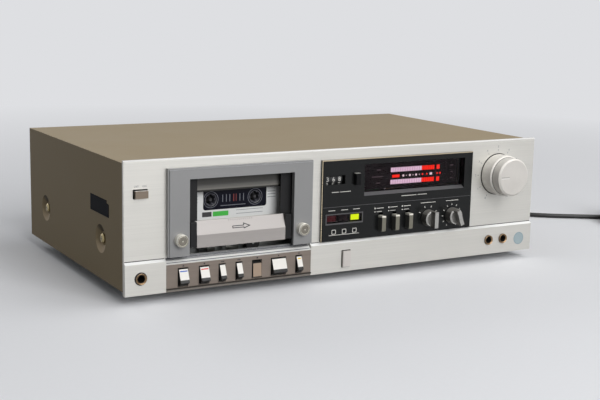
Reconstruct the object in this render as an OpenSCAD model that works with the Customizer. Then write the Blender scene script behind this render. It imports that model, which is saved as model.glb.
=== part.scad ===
// Front loading cassette deck with a tilting cassette door, seven piano keys,
// a fluorescent level meter and a two part level knob.
// Lengths are in millimetres and +Z is up. Sizes are measured from the front
// plane of the fascia (y), its bottom edge (z) and the middle of the case (x).

/* [Case] */
// Width of the case and of its fascia
case_w = 430; // [426:1:450]
// Depth from the front of the fascia to the back edge of the cover
case_d = 254; // [240:1:300]
// Height of the fascia
fascia_h = 112; // [110:0.5:118]
// Height of the bottom edge of the fascia above the table
foot_h = 8; // [6:0.5:14]
// Thickness of the steel sheet
sheet_t = 1.2; // [1:0.1:1.5]

/* [Fascia] */
// Thickness of the upper fascia plate
fascia_t = 3; // [2.5:0.1:3.5]
// Height of the lower strip
strip_h = 28.8; // [28.4:0.1:29.4]
// How far the lower strip stands in front of the upper plate
strip_proud = 2; // [1.6:0.1:2.2]
// Bright chamfer along the top of the lower strip
strip_chamfer = 2.5; // [1.5:0.1:3]

/* [Cassette door] */
// Distance from the left end of the fascia to the middle of the door
bay_inset = 105.7; // [104:0.1:110]
// Width of the door frame
door_w = 137.3; // [136:0.1:140]
// How far the door frame stands in front of the fascia
door_proud = 5; // [4.6:0.1:6]
// Width of the legs of the door frame
door_leg = 19; // [17:0.5:20]
// Height of the top bar of the door frame
door_bar = 9.5; // [7:0.5:10]

/* [Cassette] */
// Width of the cassette
tape_w = 100.4; // [100:0.1:101]
// Height of the cassette
tape_h = 63.8; // [63.4:0.1:64.4]
// Thickness of the cassette
tape_t = 8.7; // [8.6:0.1:9]
// Thickness of the cassette at its head edge
tape_head_t = 12; // [11.8:0.1:12.2]
// Distance between the two hubs
hub_pitch = 42.5; // [42.2:0.1:43]

/* [Keys and buttons] */
// Width of a plain key
key_w = 8; // [6:0.5:9]
// Width of a narrow key
key_narrow_w = 5; // [4:0.5:7]
// Width of the play key
key_wide_w = 13.5; // [10:0.5:15]
// How far a released key stands out of its bezel
key_proud = 4.6; // [4:0.1:5]
// Width of a switch lever
lever_w = 4.2; // [3.5:0.1:4.6]
// Height of a switch lever
lever_h = 14.2; // [12:0.1:15]

/* [Display] */
// Distance from the right end of the fascia to the black display panel
disp_inset = 77.7; // [76:0.1:80]
// How far the display panel stands in front of the fascia
disp_proud = 2.5; // [2:0.1:3]

/* [Knobs] */
// Diameter of the level knob's rear ring
knob_d = 39; // [37.5:0.5:42]
// Diameter of the level knob's front part
knob_front_d = 36; // [32:0.5:38]
// Reach of the level knob in front of the fascia
knob_reach = 25; // [22:0.5:28]
// Diameter of the two small dials
dial_d = 15.5; // [14:0.5:18]

/* [Mains cord] */
// Diameter of the cord
cord_d = 5; // [4.5:0.5:7]
// Diameter of the coil at the middle of its bundle
coil_d = 55; // [50:1:70]

/* [Hidden] */
$fn = 64;
eps = 0.01;
run_gap = 0.05; // running clearance of a shaft in its bore
play = 0.4; // free gap beside a moving piece

// case
half_w = case_w / 2;
socket_reach = 6;
front_y = -(case_d + socket_reach - knob_reach) / 2;
pan_z = 3;
pan_top = pan_z + sheet_t;
cover_top = fascia_h - 2;
dimple_depth = 3;
dimple_r = 12.4;
dimple_floor_r = 6;
dimple_z = 38;
dimple_ys = [54, case_d - 49];
screw_r = 1.5;
screw_head_r = 4.2;
pan_half = half_w - dimple_depth - sheet_t;
rear_y = case_d - 4.2;
foot_r = 16;
foot_x = half_w - 40;
foot_ys = [45, case_d - 40];
rear_screw_x = pan_half - 9;
rear_screw_zs = [12, cover_top - 10];
socket_x = -half_w + 50;
socket_z = 60;
socket_pitch = 18;
socket_r = 4.15;
cord_x = half_w - 65;
cord_z = 22;
cord_r = cord_d / 2;
relief_len = 32;

// lower strip
strip_front = -strip_proud;
jack_z = 14;
phones_x = -half_w + 13.9;
mic_xs = [half_w - 53.5, half_w - 35.7];
phones_r = 5.5;
mic_r = 4.7;
plug_bore_r = 3.2;
mute_w = 8;
mute_z = [4.5, 19];

// door and cassette bay
door_cx = -half_w + bay_inset;
door_half = door_w / 2;
door_z0 = strip_h + 1.2;
door_z1 = fascia_h - 8;
door_gap = 0.4;
door_edge = 1.2;
door_toe = 2.8;
open_half = door_half - 0.8;
bay_top = door_z1 - 0.8;
hinge_y = 17;
hinge_z = strip_h - 8.8;
pin_r = 1.5;
arm_out = door_half - 2;
arm_in = arm_out - 1.8;
thumb_dx = door_half - 10.65;
thumb_z = door_z0 + 14;
thumb_r = 5.5;
sill_y = 6;
sill_ribs = 5;
lip_in = 39.75;
wall_in = tape_w / 2 + 0.8;
wall_out = wall_in + 1.5;
bar_half = 42.1;

// cassette and tape drive
tape_y = 19;
hub_z = strip_h + 43.2;
hub_rise = 34.5;
tape_z0 = hub_z - hub_rise;
shell_wall = 1.3;
notch_h = 10.5;
hub_hole_r = 5.6;
hub_r = 11;
supply_r = 23;
takeup_r = 14;
capstan_dx = 20.5;
capstan_r = 1.25;
capstan_rise = 8.9;
capstan_x = door_cx + capstan_dx;
capstan_z = tape_z0 + capstan_rise;
plate_y = 33;
plate_t = 1.5;
plate_half = door_half + 1.1;
reel_wheel_r = 15;
flywheel_r = 32;
boss_r = norm([hub_pitch / 2 - capstan_dx, hub_z - capstan_z]) - reel_wheel_r - 0.2;
belt_y = [47, 51];
belt_t = 0.8;
groove_r = flywheel_r - 1;
pulley_r = 5.5;
motor_x = door_cx - plate_half + 24.05;
motor_z = strip_h + 9.2;
motor_r = 18;
motor_y = 54;
carriage_travel = 8;
head_top = tape_z0 - 2.7;
shelf_z = hinge_z;
stud_dx = 28;
stud_z = hinge_z + 12;
pinch_r = 6.5;
pinch_z = capstan_z - capstan_r - pinch_r - 0.15 - carriage_travel;

// piano keys
bezel_half = door_half + 0.75;
bezel_z = [2, strip_h - 5.7];
bezel_back = strip_front + 1.6;
slot_z = [3.8, 19.2];
key_y = 2.5;
key_z = 17;
key_reach = 13.2;
key_press = 20;
key_bay = bezel_half - 7;
key_pitch = bezel_half / 69.4;
key_dx = [for (n = [-54, -34.7, -17.8, -1.8, 15.6, 36.9, 57.2]) n * key_pitch];
key_ws = [key_w, key_w, key_narrow_w, key_narrow_w, key_w, key_wide_w, key_narrow_w];
stop_key_turn = key_press;

// display panel
disp_x0 = door_cx + door_half + 10.45;
disp_x1 = half_w - disp_inset;
disp_z0 = strip_h + 0.2;
disp_z1 = fascia_h - 9.4;
disp_front = -disp_proud;
meter_x = [disp_x0 + 44.6, disp_x1 - 9.6];
meter_z = [disp_z1 - 32, disp_z1 - 3.8];
meter_y = 8;
led_x = [disp_x0 + 5.5, disp_x0 + 42.7];
led_z = [disp_z0 + 16.4, disp_z0 + 23.8];
count_x = [disp_x0 + 3.6, disp_x0 + 24];
count_z = [disp_z1 - 22.2, disp_z1 - 14.1];
wheel_r = 8.5;
wheel_w = 5.8;
wheel_pitch = 6.2;
wheel_y = wheel_r + 1;
wheel_z = (count_z[0] + count_z[1]) / 2;
wheel_mid_x = (count_x[0] + count_x[1]) / 2;
axle_r = 1.2;
reset_x = disp_x0 + 35.85;
reset_w = 4.7;
reset_h = 10.5;
row_x = led_x[1]; // the row of levers and dials fills the panel to the right of the lamps
row_pitch = (disp_x1 - row_x) / 124.8;
lever_xs = [for (n = [20.5, 35.6, 50.7]) row_x + n * row_pitch];
lever_z = disp_z0 + 12.6;
lever_y = 8;
lever_reach = 6.2;
lever_swing = 5;
dial_z = disp_z0 + 13.5;
dial_xs = [for (n = [74, 102]) row_x + n * row_pitch];
dial_r = dial_d / 2;
dial_h = 8;
fin_h = 6;
fin_w = 4;
stem_r = 3;
output_turn = 20;

// circuit board and transformer
board_left = -15;
board_edge = 25;
board_d = 120;
board_t = 1.6;
board_z = pan_top + 8;
post_r = 3;
can_pitch = 26;
can_r = 5;
can_h = 18.4;
chip_w = 20;
chip_d = 8;
chip_h = 4;
sink_h = 28;
core_w = 60;
core_h = 50;

// level knob and power button
knob_x = half_w - 45.1;
knob_z = fascia_h - 33.5;
knob_split = 14.3;
sleeve_r = 4;
inner_stem_r = 2.5;
power_x = -half_w + 14.6;
power_z = fascia_h - 28;
power_w = 11;
power_h = 6.2;

// cord on the table: the coil stands to the right of the case
coil_x = half_w + 223;
coil_y = 73;
coil_h = 3 * cord_d;
coil_w = 2 * cord_d + 1;
table_z = -foot_h;
lie_z = table_z + cord_r + eps;
cord_sides = 10;
cord_route = [
  [cord_x, rear_y + 2, cord_z],
  [cord_x, rear_y + 16, cord_z],
  [cord_x, rear_y + 31, cord_z],
  [cord_x + 1, rear_y + 40, cord_z - 2],
  [cord_x + 3, rear_y + 50, cord_z - 6],
  [cord_x + 7, rear_y + 62, cord_z - 14],
  [cord_x + 13, rear_y + 72, cord_z - 22],
  [cord_x + 22, rear_y + 80, lie_z + 1],
  [cord_x + 36, rear_y + 86, lie_z],
  [cord_x + 53, rear_y + 88, lie_z],
  [cord_x + 72, rear_y + 84, lie_z],
  [half_w + 25, 324, lie_z],
  [half_w + 41, 310, lie_z],
  [half_w + 55, 292, lie_z],
  [half_w + 68, 272, lie_z],
  [half_w + 81, 251, lie_z],
  [half_w + 94, 230, lie_z],
  [half_w + 107, 209, lie_z],
  [half_w + 118, 190.5, lie_z],
  [half_w + 130, 174, lie_z],
  [half_w + 143, 159.5, lie_z],
  [half_w + 157, 147.5, lie_z],
  [half_w + 172, 137.5, lie_z],
  [half_w + 188, 128, lie_z],
  [half_w + 204, 118.5, lie_z],
  [half_w + 219, 110, lie_z]
];
plug_l = 36;
plug_w = 25;
plug_t = 13;
prong_pitch = 19;
prong_r = 2;

champagne = [0.62, 0.57, 0.48];
silver = [0.84, 0.83, 0.81];
satin_grey = [0.55, 0.55, 0.56];
taupe = [0.43, 0.38, 0.35];
black = [0.05, 0.05, 0.06];
steel = [0.68, 0.69, 0.7];

// moves a piece from the front plane of the fascia into the part's own frame
module place() {
  translate([0, front_y, foot_h]) children();
}

module box(x, y, z) {
  translate([x[0], y[0], z[0]]) cube([x[1] - x[0], y[1] - y[0], z[1] - z[0]]);
}

// straight rods along the three axes, given by their ends
module rod_x(y, z, r, x) {
  translate([x[0], y, z]) rotate([0, 90, 0]) cylinder(r = r, h = x[1] - x[0]);
}

module rod_y(x, z, r, y) {
  translate([x, y[1], z]) rotate([90, 0, 0]) cylinder(r = r, h = y[1] - y[0]);
}

module rod_z(x, y, r, z) {
  translate([x, y, z[0]]) cylinder(r = r, h = z[1] - z[0]);
}

// a side profile of (y, z) drawn out along x
module slab_x(x) {
  translate([x[0], 0, 0]) rotate([90, 0, 90]) linear_extrude(x[1] - x[0]) children();
}

// a front outline of (x, z) drawn out along y
module slab_y(y) {
  translate([0, y[1], 0]) rotate([90, 0, 0]) linear_extrude(y[1] - y[0]) children();
}

// a profile of (radius, depth) turned about an axis that runs back from y
module turned_y(x, y, z) {
  translate([x, y, z]) rotate([-90, 0, 0]) rotate_extrude() children();
}

// a profile of (radius, depth) turned about an axis that runs in from one side
module turned_side(s, y, z) {
  translate([s * half_w, y, z]) rotate([0, -s * 90, 0]) rotate_extrude() children();
}

module pan_head(depth) {
  polygon([[0, 0.6], [screw_head_r - 1.4, 0.6], [screw_head_r, 1.7], [screw_head_r, depth],
    [screw_r, depth], [screw_r, depth + 6], [0, depth + 6]]);
}

// case

module base_pan() {
  color(steel) place() difference() {
    union() {
      box([-pan_half, pan_half], [fascia_t + 0.3, rear_y + sheet_t], [pan_z, pan_top]);
      for (s = [0, 1]) mirror([s, 0, 0]) {
        box([pan_half - sheet_t, pan_half], [fascia_t + 0.3, rear_y + sheet_t], [pan_z, pan_z + 15]);
        box([pan_half - sheet_t, pan_half], [fascia_t + 0.3, fascia_t + 14], [pan_z, cover_top - 3]);
        for (y = dimple_ys)
          box([pan_half - sheet_t, pan_half], [y - 12, y + 12], [pan_z, dimple_z + 9]);
      }
      box([disp_x0 + 40, mic_xs[0] - 12], [fascia_t + 0.3, fascia_t + 0.3 + sheet_t], [pan_z, strip_h - 5]);
    }
    for (s = [-1, 1], y = dimple_ys)
      rod_x(y, dimple_z, screw_r + run_gap, [s * pan_half - 3, s * pan_half + 3]);
    box([door_cx - key_bay, door_cx + key_bay], [0, key_y + key_reach + 1], [pan_z - 1, pan_top + 1]);
  }
}

module feet() {
  foot_top = foot_h + pan_z;
  color([0.08, 0.08, 0.08]) for (s = [-1, 1], y = foot_ys)
    translate([s * foot_x, front_y + y, 0]) rotate_extrude()
      polygon([[5, 2], [5, 0], [foot_r - 1.5, 0], [foot_r, 1.5], [foot_r - 1, foot_top - 3],
        [foot_r + 1, foot_top - 2.5], [foot_r + 1, foot_top], [0, foot_top], [0, 2]]);
}

module top_cover() {
  skirt = [fascia_t, case_d];
  color(champagne) place() {
    difference() {
      union() {
        box([-half_w, half_w], skirt, [cover_top - sheet_t, cover_top]);
        for (s = [0, 1]) mirror([s, 0, 0])
          box([half_w - sheet_t, half_w], skirt, [pan_z, cover_top]);
      }
      for (s = [-1, 1], y = dimple_ys)
        rod_x(y, dimple_z, dimple_r + 0.5, [s * half_w - 3, s * half_w + 3]);
    }
    for (s = [-1, 1], y = dimple_ys) turned_side(s, y, dimple_z)
      polygon([[dimple_r, 0], [dimple_floor_r, dimple_depth], [2, dimple_depth],
        [2, dimple_depth + sheet_t], [dimple_floor_r + 0.6, dimple_depth + sheet_t],
        [dimple_r + 0.5, sheet_t], [dimple_r + 0.5, 0]]);
  }
}

module case_screws() {
  color([0.72, 0.6, 0.35]) place() {
    for (s = [-1, 1], y = dimple_ys) turned_side(s, y, dimple_z) pan_head(dimple_depth);
    for (s = [-1, 1], z = rear_screw_zs) translate([s * rear_screw_x, rear_y + sheet_t, z])
      rotate([90, 0, 0]) translate([0, 0, -dimple_depth]) rotate_extrude() pan_head(dimple_depth);
  }
}

module rear_panel() {
  inner = pan_half - sheet_t - 0.1;
  block = socket_pitch / 2 + 9;
  color(champagne * 0.5) place() difference() {
    box([-inner, inner], [rear_y, rear_y + sheet_t], [pan_top, cover_top - sheet_t - 0.1]);
    box([socket_x - block, socket_x + block], [rear_y - 1, rear_y + 3], [socket_z - block, socket_z + block]);
    rod_y(cord_x, cord_z, 6.1, [rear_y - 1, rear_y + 3]);
    for (s = [-1, 1], z = rear_screw_zs)
      rod_y(s * rear_screw_x, z, screw_r + run_gap, [rear_y - 1, rear_y + 3]);
  }
}

module line_sockets() {
  flange = socket_pitch / 2 + 12;
  block = socket_pitch / 2 + 8.8;
  face_y = rear_y + sheet_t;
  color(black) place() difference() {
    union() {
      box([socket_x - flange, socket_x + flange], [face_y, face_y + 1.5],
        [socket_z - flange, socket_z + flange]);
      box([socket_x - block, socket_x + block], [face_y - 9, face_y + 1],
        [socket_z - block, socket_z + block]);
      for (sx = [-1, 1], sz = [-1, 1]) {
        x = socket_x + sx * socket_pitch / 2;
        z = socket_z + sz * socket_pitch / 2;
        rod_y(x, z, 6, [face_y, face_y + 2]);
        rod_y(x, z, socket_r, [face_y, case_d + socket_reach]);
      }
    }
    for (sx = [-1, 1], sz = [-1, 1])
      rod_y(socket_x + sx * socket_pitch / 2, socket_z + sz * socket_pitch / 2, 1.6,
        [face_y - 6, case_d + 9]);
  }
}

module cord_relief() {
  bore_r = cord_r + 0.15;
  out = rear_y + sheet_t;
  color(black) place() turned_y(cord_x, out - 4, cord_z)
    polygon([[bore_r, 0], [8, 0], [8, 4 - sheet_t - 0.1], [6, 4 - sheet_t - 0.1], [6, 4.1], [8, 4.1],
      [8, 6.5], [bore_r + 2.6, 8], [bore_r + 1.4, relief_len], [bore_r, relief_len]]);
}

// fascia

module upper_fascia() {
  ledge = 3;
  color(silver) place() difference() {
    slab_x([-half_w, half_w])
      polygon([[0, strip_h], [0, fascia_h - 1], [1, fascia_h], [fascia_t, fascia_h], [fascia_t, strip_h]]);
    box([door_cx - open_half, door_cx + open_half], [-1, 9], [strip_h - 1, bay_top]);
    box([disp_x0 + ledge, disp_x1 - ledge], [-1, 9], [disp_z0 + ledge, disp_z1 - ledge]);
    box([power_x - power_w / 2 - 0.5, power_x + power_w / 2 + 0.5], [-1, 9],
      [power_z - power_h / 2 - 0.5, power_z + power_h / 2 + 0.5]);
    rod_y(knob_x, knob_z, 6.2, [-1, 9]);
  }
}

// the sloping sill below the door is cut into the top of the strip as fine ribs
function sill_points() = [
  for (i = [0 : sill_ribs - 1], k = [0, 1])
    let (a = i / sill_ribs, b = (i + 1) / sill_ribs,
      y = strip_front + (k == 0 ? a : b - 0.04) * (sill_y - strip_front),
      z = bezel_z[1] + 0.2 + (k == 0 ? a : b) * (strip_h - bezel_z[1] - 0.2))
    [y, z + (k == 0 ? 0.35 : 0)]
];

module lower_fascia() {
  bay = [door_cx - bezel_half - 0.1, door_cx + bezel_half + 0.1];
  color(silver) place() {
    difference() {
      slab_x([-half_w, half_w])
        polygon([[strip_front, 0], [strip_front, strip_h - strip_chamfer],
          [strip_front + strip_chamfer, strip_h], [fascia_t, strip_h], [fascia_t, 0]]);
      box(bay, [-9, 9], [bezel_z[0] - 0.1, strip_h + 1]);
      rod_y(phones_x, jack_z, phones_r + 0.1, [-9, 9]);
      for (x = mic_xs) rod_y(x, jack_z, mic_r + 0.1, [-9, 9]);
      box([disp_x0 + 22.7, disp_x0 + 23.7 + mute_w], [-9, 9], [mute_z[0] - 0.5, mute_z[1] + 0.5]);
    }
    slab_x(bay) polygon(concat([[strip_front, bezel_z[1] + 0.1]], sill_points(),
      [[sill_y, strip_h - 2.2], [strip_front + 2, bezel_z[1] + 0.1]]));
  }
}

module key_bezel() {
  cheek = [bezel_half - 3.9, bezel_half];
  color(taupe) place() difference() {
    union() {
      box([door_cx - bezel_half, door_cx + bezel_half], [strip_front, bezel_back], bezel_z);
      box([door_cx - bezel_half, door_cx + bezel_half], [strip_front - 1.2, bezel_back],
        [bezel_z[0], bezel_z[0] + 1]);
      translate([door_cx, 0, 0]) for (s = [0, 1]) mirror([s, 0, 0])
        box(cheek, [strip_front, key_y + 4.5], [8, key_z + 4]);
    }
    for (i = [0 : len(key_dx) - 1])
      box([door_cx + key_dx[i] - key_ws[i] / 2 - play, door_cx + key_dx[i] + key_ws[i] / 2 + play],
        [-9, 9], slot_z);
    rod_x(key_y, key_z, pin_r + 0.02, [door_cx - bezel_half - 1, door_cx + bezel_half + 1]);
  }
}

module display_panel() {
  ledge = 3.2;
  wall = 1.2;
  rim = 1.3;
  color(black) place() difference() {
    union() {
      box([disp_x0, disp_x1], [disp_front + 0.5, 0], [disp_z0, disp_z1]);
      box([disp_x0 + rim, disp_x1 - rim], [disp_front, 0], [disp_z0 + rim, disp_z1 - rim]);
      box([disp_x0 + ledge, disp_x1 - ledge], [-0.5, fascia_t], [disp_z0 + ledge, disp_z1 - ledge]);
      box([meter_x[0] - wall, meter_x[1] + wall], [0, meter_y - 0.2], [meter_z[0] - wall, meter_z[1] - 0.5]);
    }
    box([meter_x[0], meter_x[1]], [-9, 19], [meter_z[0], meter_z[1] - 0.5 - wall]);
    slab_x([meter_x[0], meter_x[1]])
      polygon([[disp_front - 1, meter_z[0] - 2.5], [disp_front, meter_z[0] - 2.5], [1, meter_z[0] + 0.1],
        [disp_front - 1, meter_z[0] + 0.1]]);
    box(led_x, [-9, 19], led_z);
    box(count_x, [-9, 19], count_z);
    box(count_x, [0, 19], [wheel_z - wheel_r + 2, wheel_z + wheel_r - 2]);
    box([reset_x - reset_w / 2 - play, reset_x + reset_w / 2 + play], [-9, 19],
      [wheel_z - reset_h / 2 - play, wheel_z + reset_h / 2 + play]);
    for (x = lever_xs)
      box([x - lever_w / 2 - play, x + lever_w / 2 + play], [-9, 19],
        [lever_z - lever_h / 2 - 0.6, lever_z + lever_h / 2 + lever_swing / 2]);
    for (x = dial_xs) rod_y(x, dial_z, stem_r + 0.5, [-9, 19]);
  }
}

module display_windows() {
  edge = 0.1;
  color([0.2, 0.15, 0.17, 0.5]) place() {
    box([meter_x[0] + edge, meter_x[1] - edge], [1.2, 2.4], [meter_z[0] + edge, meter_z[1] - 1.8]);
    box([led_x[0] + edge, led_x[1] - edge], [disp_front + 0.6, disp_front + 1.8],
      [led_z[0] + edge, led_z[1] - edge]);
  }
}

module display_lamps() {
  color([0.15, 0.12, 0.14]) place() {
    box([meter_x[0] + 1, meter_x[1] - 1], [meter_y, meter_y + 5], [meter_z[0] + 1, meter_z[1] - 3]);
    for (i = [0 : 2]) {
      pitch = (led_x[1] - led_x[0]) / 3;
      x = led_x[0] + (i + 0.5) * pitch;
      box([x - pitch / 2 + 0.7, x + pitch / 2 - 0.7], [0, 6], [led_z[0] + 1, led_z[1] - 1]);
    }
  }
}

module counter_frame() {
  cheek = [wheel_pitch * 1.5 + 1, wheel_pitch * 1.5 + 2.2];
  color([0.1, 0.1, 0.1]) place() translate([wheel_mid_x, 0, 0]) {
    for (s = [0, 1]) mirror([s, 0, 0])
      box(cheek, [fascia_t + 0.2, 20], [wheel_z - 9, wheel_z + 9]);
    box([-cheek[1], cheek[1]], [20, 21.2], [wheel_z - 9, wheel_z + 9]);
    rod_x(wheel_y, wheel_z, axle_r, [-cheek[0], cheek[0]]);
  }
}

// a box with a round bore that takes the plunger of a push button
module plunger_switch(x, z, w, h, y) {
  difference() {
    box([x - w / 2, x + w / 2], y, [z - h / 2, z + h / 2]);
    rod_y(x, z, 2 + run_gap, [y[0] - 1, y[1] - 2]);
  }
}

module panel_controls() {
  color([0.3, 0.3, 0.32]) place() {
    for (x = lever_xs) {
      difference() {
        box([x - lever_w / 2 - 2.4, x + lever_w / 2 + 2.4], [fascia_t + 0.2, 16], [lever_z - 9, lever_z + 9]);
        box([x - lever_w / 2 - play, x + lever_w / 2 + play], [0, 14], [lever_z - 10, lever_z + 10]);
      }
      rod_x(lever_y, lever_z, 1, [x - lever_w / 2 - play, x + lever_w / 2 + play]);
    }
    for (x = dial_xs) difference() {
      union() {
        rod_y(x, dial_z, 9, [8, 22]);
        rod_y(x, dial_z, 5, [fascia_t + 0.2, 8]);
      }
      rod_y(x, dial_z, stem_r + run_gap, [0, 19]);
    }
    difference() {
      union() {
        rod_y(knob_x, knob_z, 12, [8, 34]);
        rod_y(knob_x, knob_z, 6, [0.4, 8]);
      }
      rod_y(knob_x, knob_z, sleeve_r + run_gap, [0, 20]);
      rod_y(knob_x, knob_z, inner_stem_r + run_gap, [0, 30]);
    }
    plunger_switch(power_x, power_z, 14, 12, [14, 40]);
    plunger_switch(disp_x0 + 27.2, (mute_z[0] + mute_z[1]) / 2, 12, 12, [12, 28]);
    plunger_switch(reset_x, wheel_z, 6, 12, [10, 21]);
  }
}

module jack(x, r, lead) {
  difference() {
    union() {
      turned_y(x, strip_front - lead, jack_z)
        polygon([[0, 0], [r - 1, 0], [r, 1], [r, lead + 6], [0, lead + 6]]);
      box([x - 7, x + 7], [fascia_t + 0.3, 30], [jack_z - 7, jack_z + 7]);
    }
    rod_y(x, jack_z, plug_bore_r, [strip_front - 5, 26]);
  }
}

module front_jacks() {
  color([0.12, 0.11, 0.1]) place() {
    jack(phones_x, phones_r, 0.8);
    for (x = mic_xs) jack(x, mic_r, 0.6);
  }
}

// mechanism behind the fascia

module mechanism_plate() {
  posts = [[-6.5, 11.3], [-13, 0], [-6.5, -11.3]];
  bearing_y = plate_y + 23;
  span = flywheel_r + 4;
  color(steel) place() difference() {
    union() {
      box([door_cx - plate_half, door_cx + plate_half], [plate_y, plate_y + plate_t], [pan_top, hub_z + 28]);
      translate([door_cx, 0, 0]) for (s = [0, 1]) mirror([s, 0, 0])
        box([plate_half - 1.5, plate_half], [9, plate_y], [pan_top, hinge_z + 7]);
      for (s = [-1, 1]) {
        rod_y(door_cx + s * hub_pitch / 2, hub_z, 5, [plate_y, plate_y + 3.5]);
        rod_y(door_cx + s * stud_dx, stud_z, 2, [tape_y + tape_head_t / 2 + 0.6, plate_y + eps]);
        rod_y(capstan_x + s * span, capstan_z, 2.5, [plate_y, bearing_y + eps]);
      }
      rod_y(capstan_x, capstan_z, 4, [plate_y, plate_y + 3.5]);
      box([capstan_x - span - 4, capstan_x + span + 4], [bearing_y, bearing_y + plate_t],
        [capstan_z - 4, capstan_z + 4]);
      for (p = posts) rod_y(motor_x + p[0], motor_z + p[1], 2.5, [plate_y, motor_y]);
    }
    for (s = [-1, 1])
      rod_y(door_cx + s * hub_pitch / 2, hub_z, 2 + run_gap, [plate_y - 1, plate_y + 5]);
    rod_y(capstan_x, capstan_z, capstan_r + run_gap, [plate_y - 1, bearing_y + 3]);
    rod_x(hinge_y, hinge_z, pin_r + 0.02, [door_cx - plate_half - 1, door_cx + plate_half + 1]);
  }
}

module drive_motor() {
  color([0.6, 0.6, 0.58]) place() difference() {
    union() {
      rod_y(motor_x, motor_z, motor_r, [motor_y, motor_y + 32]);
      rod_y(motor_x, motor_z, 5, [motor_y - 1, motor_y + 1]);
    }
    rod_y(motor_x, motor_z, 1 + run_gap, [motor_y - 2, motor_y + 9]);
  }
}

// outline of a belt held a little off its two wheels
module belt_outline(off) {
  hull() {
    translate([motor_x, motor_z]) circle(r = pulley_r + off);
    translate([capstan_x, capstan_z]) circle(r = groove_r + off);
  }
}

module drive_belt() {
  color([0.06, 0.06, 0.06]) place() slab_y([belt_y[0] + 0.2, belt_y[1] - 0.2]) difference() {
    belt_outline(0.15 + belt_t);
    belt_outline(0.15);
  }
}

module circuit_board() {
  board_x = [board_left, half_w - board_edge];
  board_y = [case_d - board_edge - board_d, case_d - board_edge];
  top = board_z + board_t;
  color([0.12, 0.35, 0.2]) place() {
    box(board_x, board_y, [board_z, top]);
    for (x = [board_x[0] + 2 * post_r, board_x[1] - 2 * post_r])
      for (y = [board_y[0] + 2 * post_r, board_y[1] - 2 * post_r])
        rod_z(x, y, post_r, [pan_top, board_z]);
    for (i = [0 : 4])
      rod_z(board_x[0] + can_pitch * (i + 1), board_y[0] + board_d / 4, can_r, [top, top + can_h]);
    for (i = [0 : 3])
      box([board_x[0] + chip_w * (2 * i + 1), board_x[0] + chip_w * (2 * i + 2)],
        [board_y[0] + board_d / 2, board_y[0] + board_d / 2 + chip_d], [top, top + chip_h]);
    box([board_x[1] - 3 * chip_w, board_x[1] - chip_w],
      [board_y[1] - board_edge, board_y[1] - board_edge + chip_h], [top, top + sink_h]);
  }
}

module transformer() {
  color([0.25, 0.25, 0.27]) place() translate([-half_w + core_w * 1.25, case_d - core_w, pan_top]) {
    box([-core_w / 2, core_w / 2], [-core_w / 5, core_w / 5], [0, core_h]);
    box([-core_w / 3, core_w / 3], [-core_w * 0.36, core_w * 0.36], [core_h * 0.18, core_h * 0.82]);
  }
}

module pivot_pins() {
  color(steel) place() {
    rod_x(key_y, key_z, pin_r, [door_cx - bezel_half + 0.5, door_cx + bezel_half - 0.5]);
    translate([door_cx, 0, 0]) for (s = [0, 1]) mirror([s, 0, 0])
      rod_x(hinge_y, hinge_z, pin_r, [arm_in - 1, plate_half + 0.8]);
  }
}

// cassette door and what rides on it

module door_outline(inset) {
  difference() {
    translate([-door_half + inset, door_z0]) square([door_w - 2 * inset, door_z1 - door_z0 - inset]);
    translate([-door_half + door_leg, door_z0 - 1])
      square([door_w - 2 * door_leg, door_z1 - door_bar - door_z0 + 1]);
  }
}

module cassette_door() {
  color(satin_grey) place() translate([door_cx, 0, 0]) difference() {
    union() {
      slab_y([-door_proud, -door_gap]) door_outline(door_edge);
      slab_y([-door_proud + 1, -door_gap]) door_outline(0);
    }
    box([-door_half - 1, door_half + 1], [-door_proud + door_toe, 1], [door_z0 - 1, door_z0 + 6]);
    for (s = [-1, 1]) rod_y(s * thumb_dx, thumb_z, 2.3, [-door_proud - 1, 1]);
  }
}

module thumb_screws() {
  head = 5.2;
  color([0.75, 0.7, 0.6]) place() for (s = [-1, 1])
    turned_y(door_cx + s * thumb_dx, -door_proud - head, thumb_z)
      polygon([[0, 0.3], [thumb_r - 1.4, 0.3], [thumb_r - 1.2, 0], [thumb_r - 0.6, 0], [thumb_r, 0.7],
        [thumb_r, head], [2, head], [2, head + door_proud + 3], [0, head + door_proud + 3]]);
}

module cassette_holder() {
  back_y = tape_y + tape_t / 2 + 1.75;
  ear_y = [-door_gap, 1.1];
  color([0.09, 0.09, 0.1]) place() translate([door_cx, 0, 0]) difference() {
    union() {
      for (s = [0, 1]) mirror([s, 0, 0]) {
        box([wall_in, wall_out], [ear_y[0], back_y], [tape_z0 - 1.6, hub_z + 28]);
        box([lip_in, wall_out], [2, 3.5], [tape_z0 - 1.6, hub_z + 25]);
        box([wall_in - 4, wall_in + eps], [tape_y - tape_t / 2 - 1.75, tape_y - tape_t / 2 - 0.55],
          [tape_z0 - 1.6, hub_z + 20]);
        box([wall_in - 4, wall_in + eps], [back_y - 1.2, back_y], [tape_z0 - 1.6, hub_z + 20]);
        box([38, wall_out], [tape_y - tape_t / 2 - 1.75, back_y], [tape_z0 - 1.6, tape_z0 - 0.2]);
        box([wall_in, arm_out], ear_y, [door_z0 + 4, door_z0 + 32]);
        slab_x([arm_in, arm_out]) union() {
          polygon([[ear_y[0], door_z0 + 4], [9.6, door_z0 + 3], [hinge_y - 2.8, hinge_z + 3.5],
            [hinge_y, hinge_z], [hinge_y + 3.4, hinge_z + 2], [14, door_z0 + 12], [ear_y[0], door_z0 + 30]]);
          translate([hinge_y, hinge_z]) circle(r = 4);
        }
      }
      box([-wall_out, wall_out], [tape_y - 7.8, tape_y - 6.6], [tape_z0 - 1.6, tape_z0 + 6.5]);
    }
    rod_x(hinge_y, hinge_z, pin_r + run_gap, [-door_half, door_half]);
    for (s = [-1, 1]) rod_y(s * thumb_dx, thumb_z, 2 + run_gap, [-2, 3]);
  }
}

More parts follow.
